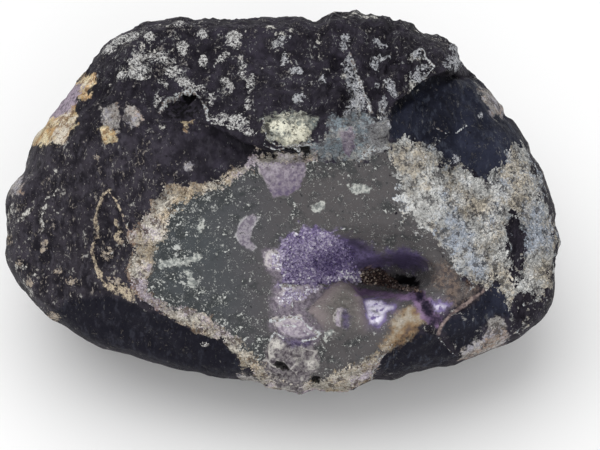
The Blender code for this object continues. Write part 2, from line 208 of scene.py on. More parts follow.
# Outlines of the other marks. Several may share a name; islands of black skin are left among the grains.
MARKS = [
    ("agate", (156, 243), (167, 237), (170, 216), (175, 204), (186, 201), (199, 197), (211, 191),
     (227, 184), (245, 174), (256, 164), (290, 163), (311, 160), (325, 163), (345, 161), (360, 165),
     (375, 156), (388, 152), (391, 170), (396, 186), (396, 203), (404, 213), (421, 220), (436, 234),
     (442, 252), (454, 265), (470, 281), (474, 292), (455, 305), (432, 318), (410, 334), (388, 346),
     (372, 356), (330, 374), (300, 386), (272, 374), (262, 364), (247, 353), (230, 333), (207, 315),
     (172, 305), (153, 298), (147, 284), (151, 257)),
    ("island", (508, 211), (514, 212), (521, 224), (527, 233), (523, 255), (521, 275), (517, 285),
     (510, 270), (506, 244)),
    ("island", (531, 165), (540, 168), (540, 176), (532, 174)),
    ("island", (541, 176), (548, 184), (557, 210), (553, 216), (545, 200)),
    ("island", (508, 318), (514, 298), (524, 291), (532, 299), (528, 318), (517, 334)),
    ("island", (533, 305), (544, 292), (557, 284), (555, 303), (536, 326), (528, 330)),
    ("mixed", (300, 150), (318, 140), (330, 122), (350, 112), (372, 116), (388, 124), (392, 146),
     (376, 157), (360, 165), (345, 161), (325, 163), (305, 160)),
    ("lump", (262, 120), (275, 111), (300, 113), (314, 120), (312, 138), (300, 148), (285, 150), (270, 141),
     (262, 131)),
    ("crescent", (259, 217), (253, 214), (245, 217), (238, 226), (236, 236), (241, 245), (252, 251),
     (256, 248), (250, 241), (252, 228)),
    ("chips", (322, 338), (327, 330), (338, 329), (334, 337), (326, 341)),
    ("chips", (192, 224), (199, 222), (205, 229), (197, 232)),
    ("chips", (186, 272), (193, 271), (198, 280), (196, 290), (189, 285)),
    ("chips", (150, 265), (176, 261), (198, 255), (204, 257), (180, 265), (160, 270)),
    ("chips", (310, 206), (322, 203), (326, 207), (315, 212)),
    ("chips", (349, 186), (366, 184), (370, 188), (352, 193)),
    ("druse", (280, 262), (281, 243), (290, 234), (311, 231), (328, 232), (344, 238), (354, 252),
     (356, 266), (364, 273), (360, 282), (344, 279), (326, 284), (300, 285), (283, 282)),
    ("roof", (334, 237), (350, 236), (366, 243), (380, 252), (394, 251), (404, 248), (416, 252), (425, 260),
     (426, 270), (412, 272), (392, 268), (372, 268), (356, 268), (346, 256)),
    ("slot", (369, 276), (376, 274), (383, 277), (381, 282), (373, 282)),
    ("slot", (389, 276), (398, 273), (405, 276), (413, 279), (420, 281), (420, 287), (410, 288), (400, 285),
     (391, 282)),
    ("ground", (266, 250), (284, 252), (288, 280), (322, 281), (324, 298), (306, 310), (324, 332),
     (310, 348), (282, 342), (270, 320), (272, 300), (276, 284), (268, 272)),
    ("brown", (354, 275), (366, 268), (380, 268), (392, 278), (404, 287), (418, 287), (421, 292),
     (402, 291), (380, 285), (362, 283)),
    ("band", (350, 287), (366, 289), (384, 292), (405, 294), (415, 295), (413, 301), (396, 300), (372, 297),
     (356, 298)),
    ("band", (408, 292), (420, 290), (430, 299), (433, 311), (445, 321), (437, 328), (423, 318), (411, 304)),
    ("broken", (270, 336), (284, 340), (297, 343), (310, 345), (320, 357), (318, 370), (308, 380),
     (300, 390), (284, 388), (270, 376), (262, 360), (268, 348)),
    ("milk", (363, 299), (372, 298), (383, 300), (387, 304), (396, 305), (395, 310), (387, 314), (385, 320),
     (378, 327), (369, 325), (365, 314)),
    ("milk", (431, 303), (440, 301), (449, 305), (446, 311), (434, 312)),
    ("ochre", (382, 346), (390, 328), (398, 312), (409, 304), (420, 307), (424, 322), (417, 334),
     (402, 342), (388, 352)),
    ("knob", (322, 296), (329, 286), (339, 281), (349, 282), (357, 288), (363, 298), (366, 311), (368, 325),
     (366, 342), (358, 360), (345, 375), (322, 372), (322, 345), (325, 331), (317, 319), (308, 311),
     (313, 304)),
    ("violet", (338, 240), (352, 244), (368, 252), (384, 262), (380, 271), (362, 272), (350, 270),
     (346, 256)),
    ("violet", (391, 252), (404, 249), (420, 254), (419, 265), (404, 268), (393, 264)),
    ("violet", (341, 317), (346, 315), (350, 320), (347, 326), (342, 324)),
    ("violet", (282, 337), (298, 340), (310, 338), (308, 345), (294, 346), (283, 343)),
    ("rusty", (430, 262), (441, 260), (455, 268), (470, 283), (485, 288), (476, 297), (458, 305),
     (448, 298), (436, 288)),
    ("pink", (330, 372), (350, 362), (372, 355), (386, 352), (376, 370), (345, 388), (325, 388)),
    ("pink", (482, 340), (486, 325), (495, 315), (505, 320), (509, 335), (505, 345), (490, 352), (468, 358),
     (459, 359), (462, 349)),
    ("pink", (101, 106), (108, 103), (118, 105), (120, 118), (119, 132), (108, 126), (102, 118)),
    ("pink", (127, 106), (136, 104), (143, 114), (138, 126), (130, 128), (123, 118)),
    ("pink", (480, 87), (492, 88), (506, 110), (503, 117), (493, 114), (486, 102)),
    ("pink", (15, 176), (24, 178), (22, 192), (10, 199)),
    ("pink", (184, 165), (191, 161), (192, 168), (185, 170)),
    ("pink", (237, 375), (255, 373), (258, 382), (242, 381)),
    ("yellow", (82, 75), (96, 73), (90, 90), (82, 100), (76, 97), (74, 122), (63, 142), (30, 145),
     (38, 126), (60, 105)),
    ("yellow", (180, 119), (191, 121), (186, 132), (182, 128)),
    ("yellow", (101, 130), (108, 124), (119, 130), (117, 140), (110, 143), (103, 138)),
    ("mauve", (84, 84), (77, 102), (68, 113), (52, 121), (48, 118), (62, 100), (74, 86)),
    ("scar", (392, 140), (391, 112), (408, 99), (432, 84), (450, 78), (480, 78), (505, 110), (528, 145),
     (505, 170), (491, 184), (478, 178), (458, 164), (446, 172), (436, 146), (412, 141)),
    ("scar", (413, 331), (434, 335), (457, 357), (440, 366), (396, 374), (374, 370), (388, 352)),
    ("scar", (438, 324), (455, 316), (472, 306), (487, 288), (503, 281), (510, 300), (511, 318), (496, 314),
     (484, 326), (479, 342), (459, 353)),
    ("scar", (133, 302), (165, 315), (191, 331), (219, 340), (232, 351), (246, 372), (222, 378), (180, 372),
     (130, 356), (86, 342), (48, 318), (66, 300), (100, 297)),
    ("flaked", (104, 194), (96, 213), (94, 223), (98, 237), (91, 252), (94, 263), (99, 278), (108, 288),
     (122, 293), (134, 297), (126, 271), (133, 248), (126, 234), (118, 208)),
]
LIP_LINE = [(438, 334), (441, 325), (452, 313.5), (466, 304), (478, 295), (486, 289)]

# Thin pale lines: the width of each in pixels, and its points
VEINS = [
    (1.7, (110, 190), (104, 194), (98, 207), (95, 220), (98, 235), (92, 250), (94, 263), (99, 277),
     (106, 286)),
    (4.0, (106, 286), (114, 291), (122, 291), (131, 296)),
    (1.0, (110, 192), (118, 203), (124, 216), (128, 228)),
    (2.4, (114, 222), (118, 230), (113, 238), (119, 242)),
    (0.45, (437, 336), (447, 348), (458, 358)),
    (1.0, (388, 352), (375, 364), (371, 378)),
    (1.4, (311, 148), (300, 156), (278, 153), (264, 145)),
    (2.2, (372, 143), (366, 151), (360, 160)),
    (1.6, (388, 147), (374, 149), (362, 158)),
    (1.6, (280, 285), (294, 287), (300, 284)),
    (1.1, (292, 304), (292, 316)),
    (1.0, (270, 341), (275, 332), (283, 338)),
    (1.5, (270, 321), (281, 319), (292, 316), (301, 318), (310, 327), (320, 333), (314, 339), (303, 341)),
    (1.2, (283, 326), (296, 327), (308, 335)),
    (1.5, (160, 112), (168, 101), (178, 98), (184, 90), (192, 88), (197, 97), (204, 108), (208, 118)),
    (1.5, (350, 56), (355, 68), (363, 90), (372, 113)),
    (1.3, (418, 48), (424, 52), (434, 67), (428, 73)),
    (1.2, (413, 50), (413, 58), (418, 60), (424, 57)),
    (1.4, (407, 70), (409, 80), (420, 84), (430, 78)),
    (1.1, (263, 118), (267, 136), (276, 146), (290, 148), (312, 145)),
    (0.7, (437, 128), (445, 133), (456, 133), (466, 126)),
]

# Crystals that glint in the stained corner of the pocket
GLINT_PX = [(464, 279), (474, 279), (476, 286), (466, 287)]

# Pale places of the broken mass: x, y, half width, half height, turn, how pale
BROKEN_LIGHTS = [
    (278, 344, 11, 7, 0, 0.55), (271, 351, 4, 11, 0, 0.45), (313, 364, 10, 8, 20, 0.5),
    (298, 350, 14, 7, 10, 0.2),
]

# Painted shade in the dark hollows of the pocket, with a few dark violet spots on the milk: x, y, half width,
# half height, turn, how dark
SHADES = [
    (330, 263, 22, 12, 10, 0.65), (362, 247, 26, 6, 24, 0.5), (403, 257, 20, 11, 0, 0.25),
    (420, 296, 7, 9, 0, 0.9), (427, 308, 8, 14, -20, 0.95), (435, 320, 9, 8, -35, 0.8),
    (352, 262, 20, 12, 0, 0.25), (376, 313, 7, 2.6, 20, 0.6), (376, 325, 5, 3, 0, 0.5),
    (389, 302, 8, 3, 10, 0.35), (392, 272, 20, 4, 8, 0.4),
]

# Holes, sunk into the relief and painted black as shade, one of them a dark strip of painted shadow under the
# right ledge: x, y, half width, half height, turn, depth in millimetres
SHADED_HOLES = [
    (305, 152, 8, 5, 0, 1.8), (288, 154, 20, 3.5, 4, 1.2), (188, 95, 7, 9, 0, 1.6),
    (180, 108, 25, 11, 5, 0.34), (282, 366, 10, 4.5, 32, 1.3), (316, 379, 6, 3.5, 0, 1.0),
    (113, 112, 2, 2, 0, 0.4), (270, 122, 3, 2.5, 0, 0.5), (440, 76, 20, 4, -24, 0.6),
]

# White salts on the skin, and the quiet skin between them: x, y, half width, half height, turn, how dense
SALTS = [
    (150, 62, 50, 26, -10, 0.75), (112, 48, 26, 16, -30, 0.5), (188, 76, 30, 20, 10, 0.45),
    (222, 45, 36, 28, 0, 0.35), (245, 80, 46, 44, 0, 0.3), (290, 60, 70, 60, 0, 0.22),
    (354, 92, 12, 34, -18, 0.9), (350, 128, 50, 20, 0, 0.6), (384, 118, 12, 26, 0, 0.8),
    (60, 220, 80, 120, 0, 0.2), (113, 245, 18, 50, 0, 0.3), (66, 276, 20, 14, 30, 0.6),
    (120, 160, 60, 40, 0, 0.2), (345, 14, 60, 5, 0, 0.9), (520, 262, 8, 20, 0, 0.5),
    (170, 40, 120, 34, 0, 0.3), (380, 40, 60, 30, 0, 0.2), (440, 37, 26, 8, 30, 0.7),
    (16, 216, 12, 26, 0, 0.7), (52, 190, 16, 30, 0, 0.4), (470, 120, 60, 50, 0, 0.15),
    (405, 90, 22, 8, -20, 0.5),
]
QUIET = [
    (225, 147, 80, 20, 10, 0.7), (150, 330, 120, 40, 15, 0.3), (181, 108, 26, 13, 5, 1.2),
    (370, 84, 7, 26, -15, 0.8),
]

# Thicker crumbs of salt: x, y, half width, half height, turn
CRUMBS = [
    (139, 72, 15, 10, 0), (120, 76, 8, 5, 0), (151, 39, 8, 6, 20), (129, 38, 22, 5, -15),
    (109, 48, 10, 5, -25), (154, 55, 28, 7, 5), (133, 60, 10, 6, 0), (174, 69, 12, 8, 20),
    (164, 81, 8, 6, 0), (186, 82, 15, 6, 30), (201, 86, 6, 6, 0), (183, 46, 7, 8, 0), (203, 33, 6, 6, -40),
    (234, 41, 10, 11, 0), (221, 59, 11, 3.5, -25), (203, 60, 5, 7, -20), (243, 70, 7, 12, -10),
    (227, 84, 6.5, 12, -35), (251, 82, 5, 12, 10), (248, 103, 4.5, 8, 0), (280, 41, 13, 5, -20),
    (284, 57, 4.5, 8, 10), (296, 70, 9, 5, 20), (299, 98, 8, 5.5, 0), (323, 81, 4.5, 5, 0),
    (212, 96, 5, 9, 0), (157, 99, 4, 10, 10), (179, 24, 8, 4, 0), (219, 117, 13, 7, -15),
    (236, 120, 16, 10, 5), (247, 130, 12, 6, 20), (345, 42, 6, 11, 5), (349, 66, 5.5, 11, -12),
    (354, 84, 9, 17, -14), (360, 104, 12, 14, -18), (350, 112, 7, 10, 0), (374, 61, 6, 8, 0),
    (380, 42, 8, 4, 20), (384, 56, 7, 4, 10), (391, 88, 5, 12, -38), (376, 85, 4, 7, 0), (416, 54, 6, 7, 0),
    (420, 74, 11, 10, 0), (409, 74, 5, 8, 0), (427, 68, 6, 8, -20), (454, 62, 10, 11, 20),
    (454, 48, 6, 6, 0), (383, 105, 6, 12, 0), (384, 124, 8, 13, 0), (358, 121, 15, 5, -10),
    (480, 116, 3, 3, 0), (456, 160, 7, 7, 0), (71, 281, 8, 6, 20), (30, 283, 5, 6, 0),
    (45, 246, 3.5, 9, 10), (105, 254, 7, 9, 0), (112, 281, 11, 6, 25), (54, 317, 8, 5, 20),
    (19, 263, 5, 3.5, 0), (10, 240, 4, 3.5, 0), (205, 345, 5, 3.5, 0), (97, 157, 5, 4, 0),
    (58, 272, 5, 4, 0),
]


def smooth_step(low, high, value):
    """0 below low, 1 above high, with a smooth rise between."""
    share = np.clip((value - low) / (high - low), 0, 1)
    return share * share * (3 - 2 * share)


def smaller(a, b):
    """The smaller of two depths, rounded where they meet."""
    return -BREAK_ROUNDING * np.logaddexp(-a / BREAK_ROUNDING, -b / BREAK_ROUNDING)


def rounded_bump(x, y, centre_x, centre_y, half_width, half_height, turn):
    """1 at the middle of an ellipse on the face, falling smoothly to 0 at its edge."""
    angle = math.radians(turn)
    right, down = x - centre_x, y - centre_y
    along = (right * math.cos(angle) + down * math.sin(angle)) / half_width
    across = (down * math.cos(angle) - right * math.sin(angle)) / half_height
    return smooth_step(0, 1, 1 - along**2 - across**2)


def line_distance(x, y, points):
    """Distance in pixels to an open line."""
    nearest = np.full(x.shape, 1e9)
    for (x0, y0), (x1, y1) in zip(points, points[1:]):
        run, rise = x1 - x0, y1 - y0
        share = np.clip(((x - x0) * run + (y - y0) * rise) / (run**2 + rise**2), 0, 1)
        nearest = np.minimum(nearest, np.hypot(x - x0 - share * run, y - y0 - share * rise))
    return nearest


def edge_distance(x, y, outline):
    """Distance in pixels to a closed outline, positive inside it."""
    closed = outline + outline[:1]
    inside = np.zeros(x.shape, bool)
    for (x0, y0), (x1, y1) in zip(closed, closed[1:]):
        crosses = (y0 > y) != (y1 > y)
        inside ^= crosses & (x < x0 + (y - y0) * (x1 - x0) / ((y1 - y0) or 1))
    nearest = line_distance(x, y, closed)
    return np.where(inside, nearest, -nearest)


def patch_distance(x, y, outlines):
    """Distance in pixels to the edge of the nearest of several outlines, positive inside."""
    return np.max([edge_distance(x, y, outline) for outline in outlines], axis=0)


def ledge_rise(x, y):
    """Height of the ledge at its nearest points, in metres, and how far a place is behind it."""
    total = np.zeros(x.shape)
    height = np.zeros(x.shape)
    for px, py, rise in LEDGE:
        weight = 1 / (np.hypot(x - px, y - py) + 3) ** 4
        total += weight
        height += weight * rise * MM
    slab = [(px, py) for px, py, _ in LEDGE] + BEYOND_THE_TOP_PX
    return height / total, edge_distance(x, y, slab) * PX


def ledge_height(x, y):
    """How far the slab above the ledge stands over the face below it."""
    height, behind = ledge_rise(x, y)
    softness = 0.3 * MM + 0.2 * height
    fade = np.exp(-((np.maximum(behind, 0) / LEDGE_REACH) ** 2))
    return height * smooth_step(-softness, softness, behind) * fade


def ledge_groove(x, y):
    """1 in the deep crack below the highest parts of the ledge, which is cut into the relief and also
    darkened there as painted shade.
    """
    height, behind = ledge_rise(x, y)
    return smooth_step(2.5 * MM, 5.5 * MM, height) * np.exp(-((behind / MM + 0.8) ** 2) / 0.6)


def outline_radius(angle):
    """Distance from the outline's centre to its edge, in pixels, in each direction."""
    points = np.array(OUTLINE_PX, float) - CENTRE_PX
    angles = np.arctan2(-points[:, 1], points[:, 0])
    radii = np.hypot(points[:, 0], points[:, 1])
    order = np.argsort(angles)
    return np.interp(angle, angles[order], radii[order], period=2 * math.pi)


def edge_depth(angle):
    """Depth of the outline's own edge: nearer at the bottom."""
    return MM * (-3.0 - 9.0 * np.sin(angle)) - 2.0 * MM * np.cos(angle) ** 2


def pocket_depth(x, y):
    """How far the pocket goes in behind the broken face."""
    return sum(depth * MM * rounded_bump(x, y, *place) for *place, depth in POCKET)


def front_depth(x, y):
    """Depth of the stone's front at a place on the face: metres towards the viewer."""
    right, up = x - CENTRE_PX[0], CENTRE_PX[1] - y
    angle = np.arctan2(up, right)
    share = np.clip(np.hypot(right, up) / outline_radius(angle), 0, 1)
    rim = edge_depth(angle)
    depth = rim + (FRONT_RISE - rim) * np.sqrt(1 - share**2.7)
    for px, py, at, to_right, to_top in BREAKS:
        flat = at * MM + (to_right * (x - px) + to_top * (py - y)) * PX
        depth = smaller(depth, flat)
    inner = smooth_step(1.0, 0.94, share)
    for *place, height in SWELLS:
        depth = depth + inner * height * MM * rounded_bump(x, y, *place)
    depth = depth + inner * ledge_height(x, y)
    bare = smooth_step(-1.5, 1.5, edge_distance(x, y, AGATE_FACE_PX))
    grainy = smooth_step(-1.5, 1.5, edge_distance(x, y, GRAINY_FACE_PX))
    depth = depth - inner * 0.9 * MM * np.maximum(bare, grainy)
    return depth - pocket_depth(x, y)


def in_row_frame(x, y, depth):
    """Points of the face, with their depth, as points of the model."""
    nearer = 1 - depth / VIEW_DISTANCE
    right = (x - CENTRE_PX[0]) * PX * nearer
    up = (CENTRE_PX[1] - y) * PX * nearer
    sine, cosine = math.sin(FACE_ANGLE), math.cos(FACE_ANGLE)
    across = up * sine - depth * cosine
    height = up * cosine + depth * sine
    return np.column_stack([right + SHIFT.x, across + SHIFT.y, height + FLAT_DROP])


def eye_point():
    """Where the picture is seen from."""
    x, y = np.array(CENTRE_PX[:1], float), np.array(CENTRE_PX[1:], float)
    return Vector(in_row_frame(x, y, np.full(1, VIEW_DISTANCE))[0])


def ball_places(directions, front_share):
    """Where each point of the ball goes: its place on the face, and whether it is on the front."""
    from_front = (1 - directions[:, 2]) / 2
    to_front = 0.5 * from_front / front_share
    to_back = 0.5 + 0.5 * (from_front - front_share) / (1 - front_share)
    level = 1 - 2 * np.where(from_front < front_share, to_front, to_back)
    angle = np.arctan2(directions[:, 1], directions[:, 0])
    share = np.sqrt(np.clip(1 - level**2, 0, 1))
    reach = share * outline_radius(angle)
    x = CENTRE_PX[0] + reach * np.cos(angle)
    y = CENTRE_PX[1] - reach * np.sin(angle)
    return x, y, share, angle, level >= 0


def vertex_array(bm):
    return np.array([v.co for v in bm.verts])


def fractal(points, size, octaves, roughness=0.8):
    """Soft lumps of a given size, about -1 to 1."""
    return np.array([noise.fractal(Vector(p) / size, roughness, 2.0, octaves) for p in points])


def plates(points, size):
    """Broken plates: each point's own plate as a random height, and its distance to the joints."""
    heights, joints = [], []
    for p in points:
        near, centres = noise.voronoi(Vector(p) / size)
        heights.append(noise.cell(centres[0] * 7.3))
        joints.append(near[1] - near[0])
    return np.array(heights), np.array(joints)


def linear(colour):
    """Three screen values from 0 to 255 as a linear colour; one with its alpha is that already."""
    if len(colour) == 4:
        return tuple(colour)
    shares = [value / 255 for value in colour]
    return (*[s / 12.92 if s <= 0.04045 else ((s + 0.055) / 1.055) ** 2.4 for s in shares], 1.0)


def opaque(colour):
    return (*colour, 1.0)


class Wiring:
    """Adds nodes to one material or group and joins them as they are made."""

    def __init__(self, tree):
        self.tree = tree

    def join(self, made, inputs):
        """Links or sets a node's inputs. Colours are three screen values, or linear with an alpha."""
        for key, value in inputs.items():
            socket = made.inputs[key]
            if isinstance(value, bpy.types.NodeSocket):
                self.tree.links.new(value, socket)
            else:
                socket.default_value = linear(value) if socket.type == "RGBA" else value

    def node(self, kind, inputs=None, **settings):
        made = self.tree.nodes.new(kind)
        for name, value in settings.items():
            setattr(made, name, value)
        self.join(made, inputs or {})
        return made

    def group(self, tree, **inputs):
        return self.node("ShaderNodeGroup", inputs, node_tree=tree).outputs

    def attribute(self, name):
        return self.node("ShaderNodeAttribute", attribute_name=name).outputs["Fac"]

    def maths(self, operation, first, *others, clamp=False):
        """Takes the values in one after another."""
        for other in others:
            inputs = {0: first, 1: other}
            first = self.node("ShaderNodeMath", inputs, operation=operation, use_clamp=clamp).outputs[0]
        return first

    def add(self, *values):
        return self.maths("ADD", *values)

    def times(self, *values):
        return self.maths("MULTIPLY", *values)

    def most(self, *values):
        return self.maths("MAXIMUM", *values)

    def less(self, value):
        return self.maths("SUBTRACT", 1.0, value, clamp=True)

    def absolute(self, value):
        return self.node("ShaderNodeMath", {0: value}, operation="ABSOLUTE").outputs[0]

    def blend(self, *parts):
        """The sum of values, each with its own share."""
        return self.add(*[self.times(value, share) for value, share in parts])

    def off(self, value, size):
        """How far a noise is from its middle, times a size."""
        return self.times(self.add(value, -0.5), size)

    def ramp(self, value, low, high, start=0.0, end=1.0):
        """Smoothly from start to end as the value goes from low to high."""
        inputs = {"Value": value, 1: low, 2: high, 3: start, 4: end}
        return self.node("ShaderNodeMapRange", inputs, interpolation_type="SMOOTHSTEP").outputs[0]

    def noise(self, coords, scale, detail=3.0, rough=0.55, out="Fac", distortion=0.0):
        inputs = {"Vector": coords, "Scale": scale, "Detail": detail, "Roughness": rough}
        inputs["Distortion"] = distortion
        return self.node("ShaderNodeTexNoise", inputs).outputs[out]

    def voronoi(self, coords, scale, out="Distance", feature="F1"):
        inputs = {"Vector": coords, "Scale": scale}
        return self.node("ShaderNodeTexVoronoi", inputs, feature=feature).outputs[out]

    def scaled(self, vector, size):
        inputs = {0: vector, "Scale": size}
        return self.node("ShaderNodeVectorMath", inputs, operation="SCALE").outputs[0]

    def mix(self, factor, a, b):
        return self.node("ShaderNodeMix", {0: factor, 6: a, 7: b}, data_type="RGBA").outputs[2]

    def tones(self, value, low, high, start, end):
        """Smoothly from one colour to another as the value goes from low to high."""
        return self.mix(self.ramp(value, low, high), start, end)

    def colours(self, value, *stops):
        """A colour ramp whose stops are a place and then a colour."""
        made = self.node("ShaderNodeValToRGB", {"Fac": value})
        elements = made.color_ramp.elements
        while len(elements) < len(stops):
            elements.new(0.5)
        for element, (place, *colour) in zip(elements, stops):
            element.position = place
            element.color = linear(colour)
        return made.outputs["Color"]

    def bump(self, height, strength, distance):
        inputs = {"Height": height, "Strength": strength, "Distance": distance}
        return self.node("ShaderNodeBump", inputs).outputs["Normal"]


def shared(build):
    """A shader group, built the first time it is asked for."""
    return bpy.data.node_groups.get(build.__name__) or build()


def new_group(name, inputs, outputs):
    """An empty shader group; an input is named with its default, or with None for a vector."""
    tree = bpy.data.node_groups.new(name, "ShaderNodeTree")
    for label, value in inputs.items():
        kind = {type(None): "Vector", float: "Float", tuple: "Color"}[type(value)]
        socket = tree.interface.new_socket(label, in_out="INPUT", socket_type="NodeSocket" + kind)
        if value is not None:
            socket.default_value = value
    for label, kind in outputs.items():
        tree.interface.new_socket(label, in_out="OUTPUT", socket_type="NodeSocket" + kind)
    w = Wiring(tree)
    return tree, w, w.node("NodeGroupInput").outputs, w.node("NodeGroupOutput")


def ragged_patch():
    """A mark's mask from the distance to its edge, which wanders raggedly in and out."""
    inputs = {"Distance": 0.0, "Coords": None, "Wander": 3.0, "Softness": 1.0}
    tree, w, given, result = new_group("ragged_patch", inputs, {"Mask": "Float"})
    coarse = w.off(w.noise(given["Coords"], 330, 3, 0.7), 9.0)
    fine = w.off(w.noise(given["Coords"], 1100, 2, 0.6), 2.5)
    wander = w.times(w.add(coarse, fine), given["Wander"])
    share = w.maths("DIVIDE", w.add(given["Distance"], wander), given["Softness"])
    w.join(result, {"Mask": w.ramp(share, -1.0, 1.0)})
    return tree


def pale_specks():
    """Small pale specks: about a fortieth of the surface at density 0, half of it at 0.5."""
    inputs = {"Coords": None, "Scale": 700.0, "Density": 0.2}
    tree, w, given, result = new_group("pale_specks", inputs, {"Mask": "Float"})
    fine = w.noise(given["Coords"], given["Scale"], 4, 0.7)
    broad = w.noise(given["Coords"], w.times(given["Scale"], 0.22), 3, 0.6)
    value = w.blend((fine, 0.64), (broad, 0.36), (given["Density"], 0.2))
    w.join(result, {"Mask": w.ramp(value, 0.585, 0.615)})
    return tree


def grain_drift(w, coords, draws):
    """Where grains turn warm, cool or dark, and how bright they are, from each grain's own draws."""
    drift = []
    for draw, scale, rough, low, high in zip(
            draws, (120, 75, 380), (0.65, 0.65, 0.75), (0.52, 0.53, 0.575), (0.68, 0.68, 0.645)):
        drift.append(w.ramp(w.add(draw, w.noise(coords, scale, 5, rough)), low, high))
    return *drift, w.ramp(w.noise(coords, 150, 4, 0.7), 0.40, 0.60, 0.66, 1.12)


def mineral_grains():
    """A mosaic of mineral grains: each its own colour between four, dark at the joints."""
    names = ("Light", "Warm", "Cool", "Dark")
    inputs = {"Coords": None, "Scale": 900.0, **dict.fromkeys(names, (0.5, 0.5, 0.5, 1.0))}
    tree, w, given, result = new_group("mineral_grains", inputs, {"Color": "Color", "Height": "Float"})
    warp = w.scaled(w.noise(given["Coords"], 600, 2, 0.5, out="Color"), 0.0012)
    coords = w.node("ShaderNodeVectorMath", {0: given["Coords"], 1: warp}, operation="ADD").outputs[0]
    parts = w.node("ShaderNodeSeparateColor", {0: w.voronoi(coords, given["Scale"], out="Color")}).outputs
    draws = [w.times(part, 0.12) for part in parts]
    warm, cool, dark, cloud = grain_drift(w, given["Coords"], draws)
    colour = w.mix(warm, given["Light"], given["Warm"])
    colour = w.mix(cool, colour, given["Cool"])
    colour = w.mix(w.times(dark, 0.8), colour, given["Dark"])
    joints = w.voronoi(coords, given["Scale"], feature="DISTANCE_TO_EDGE")
    colour = w.mix(w.ramp(joints, 0.0, 0.12, 0.5, 0.0), w.scaled(colour, cloud), given["Dark"])
    w.join(result, {"Color": colour, "Height": w.add(w.ramp(joints, 0.0, 0.35), w.times(parts[0], 0.6))})
    return tree


def new_material(name):
    """A material with its wiring, its shader and its object coordinates."""
    made = bpy.data.materials.new(name)
    made.use_nodes = True
    w = Wiring(made.node_tree)
    coords = w.node("ShaderNodeTexCoord").outputs["Object"]
    return made, w, made.node_tree.nodes["Principled BSDF"], coords


